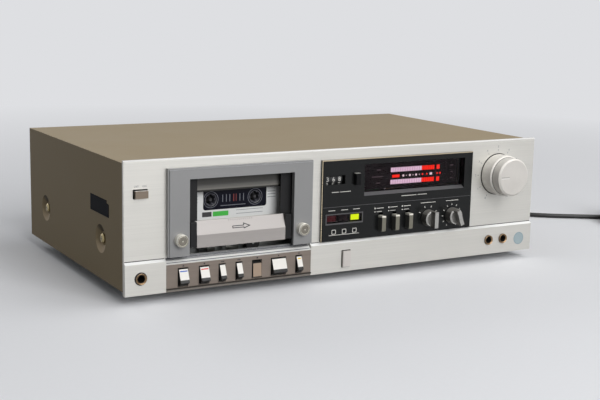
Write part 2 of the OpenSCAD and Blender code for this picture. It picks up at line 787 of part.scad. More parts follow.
module holder_trim() {
  bar_front = 1.7 - door_proud;
  bar_z = [door_z0 + 5.5, door_z0 + 16.3, door_z0 + 27.6];
  color(silver) place() translate([door_cx, 0, 0]) {
    slab_x([-bar_half, bar_half])
      polygon([[bar_front, bar_z[0]], [bar_front, bar_z[1]], [1.1, bar_z[2]], [1.9, bar_z[2]],
        [1.9, bar_z[2] - 2.6], [bar_front + 1.5, bar_z[1] - 0.4], [bar_front + 1.5, bar_z[0]]]);
    box([-wall_in, wall_in], [7, 8.2], [hub_z + 9, hub_z + 25]);
  }
}

// one half of the cassette shell, from its joint plane outwards
module cassette_half() {
  difference() {
    union() {
      slab_y([0, tape_t / 2]) translate([-tape_w / 2, 0]) square([tape_w, tape_h]);
      slab_y([0, tape_head_t / 2]) polygon([[-33, 0], [33, 0], [30.5, 17], [-30.5, 17]]);
    }
    box([-tape_w / 2 + 1.5, tape_w / 2 - 1.5], [-1, tape_t / 2 - shell_wall], [notch_h + 0.5, tape_h - 1.5]);
    for (x = [-capstan_dx, capstan_dx])
      box([x - 8, x + 8], [-1, tape_head_t / 2 - 1.2], [-1, notch_h]);
    box([-9, 9], [-1, tape_head_t / 2 - 1.2], [-1, notch_h]);
    for (s = [-1, 1]) {
      rod_y(s * hub_pitch / 2, hub_rise, hub_hole_r, [-1, 9]);
      rod_y(s * capstan_dx, capstan_rise, 3.15, [-1, 9]);
    }
  }
}

module cassette_front() {
  color([0.86, 0.86, 0.84]) place() translate([door_cx, tape_y, tape_z0]) mirror([0, 1, 0]) cassette_half();
}

module cassette_back() {
  color([0.12, 0.12, 0.13]) place() translate([door_cx, tape_y, tape_z0]) cassette_half();
}

// a toothed hub with its pack of tape
module reel(s, pack_r) {
  color([0.9, 0.9, 0.88]) place() translate([door_cx + s * hub_pitch / 2, tape_y, hub_z]) {
    rotate([90, 0, 0]) difference() {
      union() {
        cylinder(r = hub_r, h = tape_t - 3.3, center = true);
        cylinder(r = pack_r, h = 3.8, center = true);
        cylinder(r = hub_hole_r - 0.3, h = tape_t - 0.5, center = true);
      }
      cylinder(r = 4.9, h = tape_t + 2, center = true);
    }
    for (a = [0 : 60 : 300]) rotate([0, a, 0]) box([4, 5], [-2.7, 2.7], [-0.6, 0.6]);
  }
}

module supply_reel() { reel(-1, supply_r); }

module takeup_reel() { reel(1, takeup_r); }

// a finned drive spindle with its friction wheel behind the plate
module spindle(s) {
  x = door_cx + s * hub_pitch / 2;
  tip = tape_y - 4;
  collar = plate_y - 0.3;
  wheel = [plate_y + 4, plate_y + 8];
  color([0.8, 0.8, 0.78]) place() {
    turned_y(x, 0, hub_z)
      polygon([[0, tip], [1.2, tip], [2.2, tip + 1.8], [2.2, collar - 3.7], [4.5, collar - 3.7],
        [4.5, collar], [2, collar], [2, wheel[0]], [reel_wheel_r, wheel[0]], [reel_wheel_r, wheel[1]],
        [2, wheel[1]],
        [2, wheel[1] + 1.5], [0, wheel[1] + 1.5]]);
    translate([x, 0, hub_z]) for (a = [30 : 120 : 270]) rotate([0, a, 0])
      box([1.5, 3], [tip + 3, collar - 3.7 + eps], [-0.5, 0.5]);
  }
}

module supply_spindle() { spindle(-1); }

module takeup_spindle() { spindle(1); }

module flywheel() {
  disc = [plate_y + 11, plate_y + 21];
  color([0.72, 0.66, 0.45]) place() turned_y(capstan_x, 0, capstan_z)
    polygon([[0, tape_y + 0.5], [capstan_r, tape_y + 0.5], [capstan_r, plate_y + 4], [boss_r, plate_y + 4],
      [boss_r, disc[0]], [flywheel_r, disc[0]], [flywheel_r, belt_y[0]], [groove_r, belt_y[0]],
      [groove_r, belt_y[1]], [flywheel_r, belt_y[1]], [flywheel_r, disc[1]], [capstan_r, disc[1]],
      [capstan_r, disc[1] + 3], [0, disc[1] + 3]]);
}

module motor_pulley() {
  color([0.78, 0.66, 0.35]) place() turned_y(motor_x, 0, motor_z)
    polygon([[0, belt_y[0] - 1.5], [pulley_r + 1, belt_y[0] - 1.5], [pulley_r + 1, belt_y[0]],
      [pulley_r, belt_y[0]], [pulley_r, belt_y[1]], [pulley_r + 1, belt_y[1]],
      [pulley_r + 1, belt_y[1] + 1.5], [1, belt_y[1] + 1.5], [1, motor_y + 8], [0, motor_y + 8]]);
}

module head_carriage() {
  back = [plate_y - 6, plate_y - 4.5];
  arm_y = [tape_y + 2.8, tape_y + 4.2];
  color([0.75, 0.75, 0.74]) place() translate([door_cx, 0, 0]) difference() {
    union() {
      box([-36, 36], back, [shelf_z, shelf_z + 16]);
      box([-32, 32], [tape_y - 6, back[1]], [shelf_z, shelf_z + 1.5]);
      box([capstan_dx - 3.5, capstan_dx + 3.5], arm_y, [shelf_z, pinch_z + 3]);
      rod_y(capstan_dx, pinch_z, 1, [tape_y - 3.8, arm_y[1]]);
    }
    for (s = [-1, 1]) {
      box([s * stud_dx - 2 - run_gap, s * stud_dx + 2 + run_gap], [back[0] - 1, back[1] + 1],
        [stud_z - carriage_travel, stud_z]);
      for (z = [stud_z - carriage_travel, stud_z])
        rod_y(s * stud_dx, z, 2 + run_gap, [back[0] - 1, back[1] + 1]);
    }
  }
}

module tape_heads() {
  color([0.82, 0.82, 0.84]) place() for (h = [[0, 6], [-capstan_dx, 3.5]])
    slab_y([tape_y - 4, tape_y + 4]) translate([door_cx + h[0], 0]) {
      translate([-h[1], shelf_z + 1.5]) square([2 * h[1], head_top - h[1] - shelf_z - 1.5]);
      translate([0, head_top - h[1]]) circle(r = h[1]);
    }
}

module pinch_roller() {
  color([0.1, 0.1, 0.1]) place() difference() {
    rod_y(capstan_x, pinch_z, pinch_r, [tape_y - 3.4, tape_y + 2.4]);
    rod_y(capstan_x, pinch_z, 1 + run_gap, [tape_y - 5, tape_y + 5]);
  }
}

// piano keys

module key(i, turn = 0) {
  front = [-key_proud - 2 - key_y, -9.6];
  start = atan2(front[1], front[0]) + 360;
  side = concat([[-key_y - 2.2, 1.4]],
    [for (k = [0 : 6]) let (a = start + (270 - start) * k / 6) key_reach * [cos(a), sin(a)]],
    [[6.5, -10], [6.5, -8], [2.6, 0], [0, 2.6]]);
  color([0.9, 0.89, 0.86]) place() translate([door_cx + key_dx[i], key_y, key_z]) rotate([turn, 0, 0])
    difference() {
      slab_x([-key_ws[i] / 2, key_ws[i] / 2]) union() {
        polygon(side);
        circle(r = 2.6);
      }
      rod_x(0, 0, pin_r + run_gap, [-key_ws[i], key_ws[i]]);
    }
}

module eject_key() { key(0); }

module record_key() { key(1); }

module rewind_key() { key(2); }

module forward_key() { key(3); }

module stop_key() { key(4, stop_key_turn); }

module play_key() { key(5); }

module pause_key() { key(6); }

// buttons, counter, levers, dials and knobs

// a flat push button with a round plunger behind it
module push_button(x, z, w, h, y, plunger) {
  box([x - w / 2, x + w / 2], y, [z - h / 2, z + h / 2]);
  rod_y(x, z, 2, [y[1] - eps, plunger]);
}

module mute_button() {
  color([0.8, 0.76, 0.68]) place()
    push_button(disp_x0 + 27.2, (mute_z[0] + mute_z[1]) / 2, mute_w, mute_z[1] - mute_z[0], [-4.2, 8], 22);
}

module power_button() {
  color(taupe) place() push_button(power_x, power_z, power_w, power_h, [-3.6, 9], 32);
}

module counter_reset() {
  color(black) place() push_button(reset_x, wheel_z, reset_w, reset_h, [disp_front - 4, 6], 15);
}

module counter_wheel(i) {
  color([0.06, 0.06, 0.06]) place() translate([wheel_mid_x + i * wheel_pitch, 0, 0]) difference() {
    rod_x(wheel_y, wheel_z, wheel_r, [-wheel_w / 2, wheel_w / 2]);
    rod_x(wheel_y, wheel_z, axle_r + run_gap, [-wheel_w, wheel_w]);
  }
}

module counter_hundreds() { counter_wheel(-1); }

module counter_tens() { counter_wheel(0); }

module counter_units() { counter_wheel(1); }

module switch_lever(i) {
  front = disp_front - lever_reach;
  color([0.78, 0.77, 0.74]) place() translate([lever_xs[i] - lever_w / 2, 0, lever_z]) difference() {
    slab_x([0, lever_w])
      polygon([[front, -lever_h / 2 + 1], [front, lever_h / 2 - 0.4], [front + 0.4, lever_h / 2],
        [lever_y - 5, lever_h / 2 - 3], [lever_y + 2.5, 2.4], [lever_y + 2.5, -2.4],
        [lever_y - 5, -lever_h / 2], [front + 1, -lever_h / 2]]);
    rod_x(lever_y, 0, 1 + run_gap, [-1, lever_w + 1]);
  }
}

module monitor_lever() { switch_lever(0); }

module filter_lever() { switch_lever(1); }

module timer_lever() { switch_lever(2); }

// a low round dial with a grip fin across it and its stem behind
module dial(i, turn) {
  base = disp_front - 0.5;
  color([0.7, 0.69, 0.67]) place() translate([dial_xs[i], 0, dial_z]) {
    turned_y(0, base - dial_h, 0)
      polygon([[0, 0], [dial_r - 1.5, 0], [dial_r - 0.5, 1], [dial_r, dial_h], [stem_r, dial_h],
        [stem_r, dial_h + 18], [0, dial_h + 18]]);
    rotate([0, turn, 0])
      box([-fin_w / 2, fin_w / 2], [base - dial_h - fin_h, base - dial_h + 1], [-dial_r, dial_r - 0.5]);
  }
}

module selector_dial() { dial(0, 0); }

module output_dial() { dial(1, -output_turn); }

module level_knob_front() {
  front_r = knob_front_d / 2;
  color([0.8, 0.77, 0.7]) place() turned_y(knob_x, -knob_reach, knob_z)
    polygon([[0, 0], [front_r - 1.5, 0], [front_r, 1.5], [front_r, knob_reach - knob_split - 0.3],
      [inner_stem_r, knob_reach - knob_split - 0.3], [inner_stem_r, knob_reach + 26], [0, knob_reach + 26]]);
}

module level_knob_rear() {
  rear_r = knob_d / 2;
  bore_r = inner_stem_r + run_gap;
  color([0.78, 0.75, 0.68]) place() turned_y(knob_x, -knob_split, knob_z)
    polygon([[bore_r, 0], [rear_r - 1.2, 0], [rear_r, 1.2], [rear_r, knob_split - 0.5],
      [rear_r - 1.5, knob_split - 0.5], [rear_r - 1.5, knob_split - 4], [sleeve_r, knob_split - 4],
      [sleeve_r, knob_split + 19], [bore_r, knob_split + 19]]);
}

// mains cord

// rings of points round each stop of a route, joined into one closed tube
module swept_tube(route, r, sides) {
  n = len(route);
  function dir(i) = let (d = route[min(i + 1, n - 1)] - route[max(i - 1, 0)]) d / norm(d);
  function flat(i) = let (d = dir(i), f = [d[1], -d[0], 0]) f / norm(f);
  points = [for (i = [0 : n - 1], k = [0 : sides - 1]) let (a = 360 * (k + 0.5) / sides)
    route[i] + r * (cos(a) * flat(i) + sin(a) * cross(flat(i), dir(i)))];
  caps = [[for (k = [0 : sides - 1]) k], [for (k = [sides - 1 : -1 : 0]) (n - 1) * sides + k]];
  walls = [for (i = [0 : n - 2], k = [0 : sides - 1])
    [i * sides + k, (i + 1) * sides + k, (i + 1) * sides + (k + 1) % sides, i * sides + (k + 1) % sides]];
  polyhedron(points, concat(caps, walls));
}

module mains_cord() {
  color(black) place() swept_tube(cord_route, cord_r, cord_sides);
}

module cord_coil() {
  color(black) place() translate([coil_x, coil_y, table_z]) rotate_extrude()
    translate([coil_d / 2 - coil_w / 2, 0]) square([coil_w, coil_h]);
}

module mains_plug() {
  top = table_z + coil_h + 0.5;
  color(black) place() translate([coil_x + plug_l / 2, coil_y + coil_d / 2, top]) {
    box([-plug_l / 2, plug_l / 2], [-plug_w / 2, plug_w / 2], [0, plug_t]);
    for (s = [-1, 1])
      rod_x(s * prong_pitch / 2, plug_t / 2, prong_r, [plug_l / 2 - eps, plug_l / 2 + 19]);
  }
}

base_pan();
feet();
top_cover();
case_screws();
rear_panel();
line_sockets();
cord_relief();
upper_fascia();
lower_fascia();
key_bezel();
display_panel();
display_windows();
display_lamps();
counter_frame();
panel_controls();
front_jacks();
mechanism_plate();
drive_motor();
drive_belt();
circuit_board();
transformer();
pivot_pins();
cassette_door();
thumb_screws();
cassette_holder();
holder_trim();
cassette_front();
cassette_back();
supply_reel();
takeup_reel();
supply_spindle();
takeup_spindle();
flywheel();
motor_pulley();
head_carriage();
tape_heads();
pinch_roller();
eject_key();
record_key();
rewind_key();
forward_key();
stop_key();
play_key();
pause_key();
mute_button();
power_button();
counter_reset();
counter_hundreds();
counter_tens();
counter_units();
monitor_lever();
filter_lever();
timer_lever();
selector_dial();
output_dial();
level_knob_front();
level_knob_rear();
mains_cord();
cord_coil();
mains_plug();
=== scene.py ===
# %% [markdown]
# # A cassette deck, dressed on its CAD frame
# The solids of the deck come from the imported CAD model. This lesson keeps them where they are, gives each one
# a finish, and adds the thin things that a CAD model leaves out: labels, printed marks, lit bars and the cord.
# All lengths below are typed in millimetres from the front of the fascia, because that is how the deck is drawn.

# %% Load the frame
import math

import bmesh
import bpy
from mathutils import Matrix, Vector
from mathutils.geometry import tessellate_polygon


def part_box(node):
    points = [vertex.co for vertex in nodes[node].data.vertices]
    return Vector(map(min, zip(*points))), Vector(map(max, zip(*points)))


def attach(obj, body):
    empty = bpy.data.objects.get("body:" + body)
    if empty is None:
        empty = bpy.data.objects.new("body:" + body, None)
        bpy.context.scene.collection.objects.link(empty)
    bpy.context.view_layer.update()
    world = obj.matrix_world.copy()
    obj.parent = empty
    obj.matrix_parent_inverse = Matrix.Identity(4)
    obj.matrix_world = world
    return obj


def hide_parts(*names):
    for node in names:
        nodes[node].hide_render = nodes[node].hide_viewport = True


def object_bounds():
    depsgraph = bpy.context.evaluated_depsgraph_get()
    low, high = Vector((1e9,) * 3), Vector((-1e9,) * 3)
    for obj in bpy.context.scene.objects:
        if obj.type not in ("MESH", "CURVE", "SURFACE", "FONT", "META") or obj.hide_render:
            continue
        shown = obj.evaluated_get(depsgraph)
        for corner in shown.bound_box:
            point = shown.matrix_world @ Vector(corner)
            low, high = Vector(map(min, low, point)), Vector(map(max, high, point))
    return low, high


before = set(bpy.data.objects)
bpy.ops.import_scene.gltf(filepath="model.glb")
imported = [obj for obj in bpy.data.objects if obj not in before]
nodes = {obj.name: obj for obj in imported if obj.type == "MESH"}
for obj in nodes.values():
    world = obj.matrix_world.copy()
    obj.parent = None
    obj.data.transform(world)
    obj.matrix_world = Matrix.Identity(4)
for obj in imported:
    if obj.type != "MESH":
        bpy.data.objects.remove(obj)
cad_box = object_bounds()

MM = 0.001
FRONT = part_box("upper_fascia")[0].y / MM  # the fascia's front plane in the row frame
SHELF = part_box("lower_fascia")[0].z / MM  # the fascia's bottom edge above the table


def at(x, y, z):
    """A place measured from the fascia, in millimetres, as a point of the row frame in metres."""
    return Vector((x, y + FRONT, z + SHELF)) * MM


def linked(name, data):
    """A new object in the scene for a mesh, a curve, a lamp or a lens."""
    made = bpy.data.objects.new(name, data)
    bpy.context.scene.collection.objects.link(made)
    return made


print("frame of", len(nodes), "solids, front plane at", round(FRONT, 2), "mm")

# %% [markdown]
# The camera stands where the photographer stood: in front of the deck's left end, a little above it. It could be
# aimed with a Track To constraint, but the photo is also turned a little about its own axis, so the camera is turned
# three times: by its roll, up to its elevation, and round to its azimuth.

# %% Camera
AZIMUTH, ELEVATION, ROLL = (math.radians(a) for a in (-30.182, 10.361, 1.287))
CAMERA_PLACE = (-0.5381, -0.9548, 0.2537)
SENSOR, FOCAL_LENGTH = 36, 67.39

lens = bpy.data.cameras.new("photo_camera")
lens.sensor_width, lens.lens = SENSOR, FOCAL_LENGTH
camera = linked("photo_camera", lens)
camera.matrix_world = (Matrix.Translation(CAMERA_PLACE) @ Matrix.Rotation(AZIMUTH, 4, "Z")
                       @ Matrix.Rotation(math.pi / 2 - ELEVATION, 4, "X") @ Matrix.Rotation(ROLL, 4, "Z"))
bpy.context.scene.camera = camera
print("camera", [round(v, 3) for v in camera.location])

# %% [markdown]
# The mains cord is one curve. It leaves the back of the case, drops to the table, runs out to the right, and the
# rest of it is wound into a coil as for storage. A curve with a round bevel is right for a cord, because its
# centreline keeps the true length. The first points are rounded off with a spline through them, and the coil is
# worked out turn by turn: about six turns, one inside and on top of the other, each a cord's width from the next.

# %% Cord route
CORD_D = 5
LIE = CORD_D / 2 + 0.01 - SHELF  # where the middle of a cord on the table is
OUT_AND_DOWN = [(150, 251.8, 22), (150, 265.8, 22), (150, 280.8, 22), (151, 289.8, 20), (153, 299.8, 16),
                (157, 311.8, 8), (163, 321.8, 0), (172, 329.8, LIE + 1)]
ON_THE_TABLE = [(186, 335.8), (203, 337.8), (222, 333.8), (240, 324), (256, 310), (270, 292), (283, 272), (296, 251),
                (309, 230), (322, 209), (333, 190.5), (345, 174), (358, 159.5), (372, 147.5), (387, 137.5),
                (403, 128), (419, 118.5), (434, 110)]
INTO_THE_COIL = (443.5, 104.5)


def rounded_route(points, parts):
    """Points on a smooth line through all the given ones."""
    ends = [points[0]] + list(points) + [points[-1]]
    made = []
    for a, b, c, d in zip(ends, ends[1:], ends[2:], ends[3:]):
        a, b, c, d = (Vector(p) for p in (a, b, c, d))
        for k in range(parts):
            t = k / parts
            made.append(0.5 * (2 * b + (c - a) * t + (2 * a - 5 * b + 4 * c - d) * t ** 2
                               + (3 * b - a - 3 * c + d) * t ** 3))
    return made + [Vector(points[-1])]


print("route of", len(OUT_AND_DOWN) + len(ON_THE_TABLE), "points")

# %% Cord coil
COIL_X, COIL_Y, FIRST_ANGLE, TURNS, COIL_STEPS = 438, 73, 60.2, 5.9172, 154
# each step is the turn at which a change begins, the turn at which it ends, and the new value
COIL_RADIUS = [(0, 0, 30), (0.82, 1, 25), (2.5, 2.7, 30), (4.1, 4.3, 25), (5.35, 5.9, 27.5)]
COIL_HEIGHT = [(0, 0, 2.51), (1.65, 1.83, 7.6), (3.3, 3.5, 12.7), (5, 5.22, 17.9), (5.3, 5.9, 22)]


def eased(steps, t):
    """A value that holds, and moves softly from one level to the next between the given turns."""
    value = steps[0][2]
    for begin, end, goal in steps[1:]:
        s = min(1, max(0, (t - begin) / (end - begin)))
        value += (goal - value) * s * s * (3 - 2 * s)
    return value


def orbit(u, v, r, angle):
    """The point at a distance and an angle, in degrees, from another one."""
    return u + r * math.cos(math.radians(angle)), v + r * math.sin(math.radians(angle))


wound = []
for k in range(COIL_STEPS + 1):
    t = TURNS * k / COIL_STEPS
    x, y = orbit(COIL_X, COIL_Y, eased(COIL_RADIUS, t), FIRST_ANGLE - 360 * t)
    wound.append((x, y, eased(COIL_HEIGHT, t) - SHELF))
run = rounded_route(OUT_AND_DOWN + [(x, y, LIE) for x, y in ON_THE_TABLE], 4)
cord_line = [at(*p) for p in run + [(*INTO_THE_COIL, LIE)] + wound]

# %% Cord
cord_curve = bpy.data.curves.new("mains_lead", "CURVE")
cord_curve.dimensions = "3D"
cord_curve.bevel_depth = 1
cord_curve.bevel_resolution = 5
cord_curve.use_fill_caps = True
strand = cord_curve.splines.new("POLY")
strand.points.add(len(cord_line) - 1)
for point, place in zip(strand.points, cord_line):
    point.co, point.radius = (*place, 1), CORD_D / 2 * MM
strand.use_smooth = True
mains_lead = linked("mains_lead", cord_curve)
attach(mains_lead, "case")
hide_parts("mains_cord", "cord_coil")
print("cord laid")

# %% [markdown]
# ## Thin flat things
# Labels, printed marks, dots and lit bars are all thin sheets. Each could be a plane with a picture on it, but a
# sheet cut to its outline is sharper and needs no picture. `cut_sheet` takes outlines drawn in two directions on a
# face and a `seat`, which says where a point of that drawing lies on the deck and how far it stands off the face.

# %% Sheet cutter
SUNK = -0.02  # a sheet's foot reaches a little into the face under it, so that no gap shows


def placed(name, bm, look, body):
    """Turns a finished bmesh into a piece that has a finish and rides on a body of the deck."""
    bmesh.ops.recalc_face_normals(bm, faces=bm.faces)
    mesh = bpy.data.meshes.new(name)
    bm.to_mesh(mesh)
    bm.free()
    mesh.materials.append(look)
    piece = linked(name, mesh)
    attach(piece, body)
    return piece


def cut_sheet(name, islands, seat, thick, look, body="case"):
    """One mesh of flat islands. Each island is an outer ring and its holes, as (u, v) in millimetres."""
    bm = bmesh.new()
    for rings in islands:
        drawn = [p for ring in rings for p in ring]
        top, foot = ([bm.verts.new(seat(u, v, n)) for u, v in drawn] for n in (thick, SUNK))
        for a, b, c in tessellate_polygon([[Vector((u, v, 0)) for u, v in ring] for ring in rings]):
            bm.faces.new((top[a], top[b], top[c]))
            bm.faces.new((foot[c], foot[b], foot[a]))
        begin = 0
        for ring in rings:
            count = len(ring)
            for k in range(count):
                a, b = begin + k, begin + (k + 1) % count
                bm.faces.new((top[a], top[b], foot[b], foot[a]))
            begin += count
    return placed(name, bm, look, body)


print("sheet cutter ready")

# %% Outlines and seats
def oblong(u0, u1, v0, v1, r=0, steps=4):
    """The outline of a rectangle with rounded corners."""
    if r == 0:
        return [(u0, v0), (u1, v0), (u1, v1), (u0, v1)]
    corners = ((u1 - r, v1 - r, 0), (u0 + r, v1 - r, 90), (u0 + r, v0 + r, 180), (u1 - r, v0 + r, 270))
    return [orbit(u, v, r, a + 90 * k / steps) for u, v, a in corners for k in range(steps + 1)]


def disc(u, v, r, steps=32):
    """The outline of a circle."""
    return [orbit(u, v, r, 360 * k / steps) for k in range(steps)]


def spoke(u, v, angle, r0, r1, w):
    """The outline of a short radial tick, its angle counted clockwise from straight up."""
    s, c = math.sin(math.radians(angle)), math.cos(math.radians(angle))
    return [(u + r * s + h * c, v + r * c - h * s) for r, h in ((r0, -w / 2), (r0, w / 2), (r1, w / 2), (r1, -w / 2))]


def front_at(y):
    """A seat on a face that looks forward, at that distance behind the fascia's plane."""
    return lambda u, v, n: at(u, y - n, v)


on_fascia, on_strip, on_panel = (front_at(y) for y in (0, -2, -2.5))
print("outlines ready")

# %% [markdown]
# Numbers on the counter and round the level knob are the built-in font, turned into a mesh and laid on the same
# kind of seat, so a digit can also be wrapped round a wheel.

# %% Numerals
def numerals(name, marks, thick, look, body="case"):
    """Digits as one mesh. Each mark is (text, u, v, height, seat)."""
    bm = bmesh.new()
    for text, u0, v0, height, seat in marks:
        curve = bpy.data.curves.new("digit", "FONT")
        curve.body, curve.size, curve.extrude = text, height * 1.38, 0.5  # the font's digits are 1 / 1.38 of its size
        curve.align_x, curve.align_y, curve.resolution_u = "CENTER", "CENTER", 2
        typed = bpy.data.objects.new("digit", curve)
        mesh = bpy.data.meshes.new_from_object(typed)
        verts = [bm.verts.new(seat(u0 + p.co.x, v0 + p.co.y, thick if p.co.z > 0 else SUNK)) for p in mesh.vertices]
        for face in mesh.polygons:
            bm.faces.new([verts[k] for k in face.vertices])
        bpy.data.objects.remove(typed)
        bpy.data.curves.remove(curve)
        bpy.data.meshes.remove(mesh)
    return placed(name, bm, look, body)


print("numerals ready")

# %% [markdown]
# ## Shared surface effects
# Paint, plastic and metal differ in colour, but they share what happens to them: a fine grain, the streaks of a
# brushing belt, dust on faces that look up, and edges rubbed bright. Each effect is a node group made once, with
# named sockets, and every finish places the groups it needs with its own values.

# %% Node group helpers
def effect(name, inputs, outputs):
    """An empty node group with its sockets, and its input and output nodes."""
    tree = bpy.data.node_groups.new(name, "ShaderNodeTree")
    for label, kind, value in inputs:
        tree.interface.new_socket(label, in_out="INPUT", socket_type="NodeSocket" + kind).default_value = value
    for label, kind in outputs:
        tree.interface.new_socket(label, in_out="OUTPUT", socket_type="NodeSocket" + kind)
    return tree, tree.nodes.new("NodeGroupInput").outputs, tree.nodes.new("NodeGroupOutput").inputs


def add(tree, kind, links=None, **settings):
    """A node with its settings. links gives what feeds which input, by name or number."""
    node = tree.nodes.new("ShaderNode" + kind)
    for key, value in settings.items():
        setattr(node, key, value)
    for key, source in (links or {}).items():
        if isinstance(source, bpy.types.NodeSocket):
            tree.links.new(source, node.inputs[key])
        else:
            node.inputs[key].default_value = source
    return node


def maths(tree, operation, a, b=0, c=0):
    """The result of one Math node."""
    return add(tree, "Math", {0: a, 1: b, 2: c}, operation=operation).outputs[0]


def tinted(tree, factor, a, b):
    """Two colours mixed by a factor."""
    return add(tree, "Mix", {0: factor, 6: a, 7: b}, data_type="RGBA").outputs[2]


def ranged(tree, value, low, high, to_low=0, to_high=1):
    """A value moved from one range to another and held inside it."""
    return add(tree, "MapRange", {0: value, 1: low, 2: high, 3: to_low, 4: to_high}).outputs[0]


def noise(tree, **inputs):
    """A noise pattern over the piece's own space, unless another Vector is given."""
    place = inputs.pop("Vector", None) or add(tree, "TexCoord").outputs["Object"]
    return add(tree, "TexNoise", {"Vector": place, **inputs}).outputs["Fac"]


print("node helpers ready")

# %% Grain and streaks
PATTERN = [("Shade", "Float"), ("Height", "Float")]
tree, given, result = effect("fine_grain", [("Scale", "Float", 700), ("Cloud Scale", "Float", 14)], PATTERN)
fine = noise(tree, Scale=given["Scale"], Detail=2)
cloud = noise(tree, Scale=given["Cloud Scale"], Detail=4)
tree.links.new(maths(tree, "MULTIPLY_ADD", fine, 0.45, maths(tree, "MULTIPLY", cloud, 0.55)), result["Shade"])
tree.links.new(fine, result["Height"])
fine_grain = tree

tree, given, result = effect("brushed_streaks", [("Stretch", "Vector", (8, 300, 900))], PATTERN)
own_place = add(tree, "TexCoord").outputs["Object"]
drawn_out = add(tree, "VectorMath", {0: own_place, 1: given["Stretch"]}, operation="MULTIPLY").outputs[0]
streak = noise(tree, Vector=drawn_out, Scale=1, Detail=3, Roughness=0.6)
for socket in result["Shade"], result["Height"]:
    tree.links.new(streak, socket)
brushed_streaks = tree
print("grain and streaks made")

# %% Dust and worn edges
LAYER = [("Color", "Color")]
UNDER = ("Color", "Color", (0.5, 0.5, 0.5, 1))
tree, given, result = effect("settled_dust", [UNDER, ("Dust", "Color", (0.6, 0.57, 0.5, 1)),
                                              ("Amount", "Float", 0.2)], LAYER)
facing = add(tree, "SeparateXYZ", {0: add(tree, "NewGeometry").outputs["Normal"]}).outputs["Z"]
patch = noise(tree, Scale=22, Detail=6)
lying = maths(tree, "MULTIPLY", ranged(tree, patch, 0.38, 0.75), ranged(tree, facing, 0.5, 1))
mask = maths(tree, "MULTIPLY", lying, given["Amount"])
tree.links.new(tinted(tree, mask, given["Color"], given["Dust"]), result["Color"])
settled_dust = tree

tree, given, result = effect("worn_edges", [UNDER, ("Bare", "Color", (0.8, 0.8, 0.8, 1)),
                                            ("Width", "Float", 0.0006), ("Amount", "Float", 0.5)], LAYER)
softened = add(tree, "Bevel", {"Radius": given["Width"]}, samples=4).outputs[0]
true_face = add(tree, "NewGeometry").outputs["True Normal"]
along = add(tree, "VectorMath", {0: softened, 1: true_face}, operation="DOT_PRODUCT").outputs["Value"]
bent = maths(tree, "SUBTRACT", 1, along)
rub = noise(tree, Scale=160, Detail=5)
broken = maths(tree, "MULTIPLY", ranged(tree, bent, 0.02, 0.22), ranged(tree, rub, 0.3, 0.7))
mask = maths(tree, "MULTIPLY", broken, given["Amount"])
tree.links.new(tinted(tree, mask, given["Color"], given["Bare"]), result["Color"])
worn_edges = tree
print("dust and worn edges made")

# %% [markdown]
# ## Finishes
# `finish` makes one material: a colour that varies a little, a roughness that varies with it, and a faint relief,
# all from the grain or the streaks, with dust and rubbed edges where a finish asks for them. A flat colour would be
# quicker, but real paint and metal never reflect light evenly. Colours are typed as on a screen, 0 to 255.

# %% Finish maker
def paint(r, g, b, level=1):
    """A screen colour, 0 to 255, as the linear colour that Blender uses, at full or at lower strength."""
    return tuple(level * (((c / 255 + 0.055) / 1.055) ** 2.4 if c > 10 else c / 3294) for c in (r, g, b)) + (1,)


def varied(colour, share):
    """The same colour a little darker or lighter."""
    return tuple(min(1, c * share) for c in colour[:3]) + (1,)


def finish(name, tone, rough, metal=0, shade=0.12, swing=0.06, relief=0.01, grain=900, cloud=14, streak=None,
           dust=0, wear=None, gloss=0.5, level=1):
    """A material with grain or streaks, and with dust and wear (bare tone, width in mm, amount) if given."""
    material = bpy.data.materials.new(name)
    material.use_nodes = True
    tree = material.node_tree
    shader = tree.nodes["Principled BSDF"].inputs
    if streak:
        pattern = add(tree, "Group", {"Stretch": streak}, node_tree=brushed_streaks).outputs
    else:
        pattern = add(tree, "Group", {"Scale": grain, "Cloud Scale": cloud}, node_tree=fine_grain).outputs
    colour = paint(*tone, level)
    uneven = ranged(tree, pattern["Shade"], 0.3, 0.7)
    look = tinted(tree, uneven, varied(colour, 1 - shade), varied(colour, 1 + shade))
    if wear:
        bare, width, amount = wear
        look = add(tree, "Group", {"Color": look, "Bare": paint(*bare), "Width": width * MM, "Amount": amount},
                   node_tree=worn_edges).outputs["Color"]
    if dust:
        look = add(tree, "Group", {"Color": look, "Amount": dust}, node_tree=settled_dust).outputs["Color"]
    tree.links.new(look, shader["Base Color"])
    smooth, dull = max(0.02, rough - swing), min(1, rough + swing)
    tree.links.new(ranged(tree, pattern["Shade"], 0.25, 0.75, smooth, dull), shader["Roughness"])
    bump = add(tree, "Bump", {"Height": pattern["Height"], "Strength": 0.5, "Distance": relief * MM})
    tree.links.new(bump.outputs["Normal"], shader["Normal"])
    shader["Metallic"].default_value, shader["Specular IOR Level"].default_value = metal, gloss
    return material


print("finish maker ready")

# %% [markdown]
# Many pieces are one solid with two colours, such as a key with a pale cap. The solid could be cut in two, but a
# mask does it in the material: it picks the faces that look one way, or what lies past a place on the piece.

# %% Masks and second tones
def own(material, output, axis):
    """One axis of where a point lies on its piece ("Object") or of the way its face looks ("Normal")."""
    tree = material.node_tree
    return add(tree, "SeparateXYZ", {0: add(tree, "TexCoord").outputs[output]}).outputs[axis]


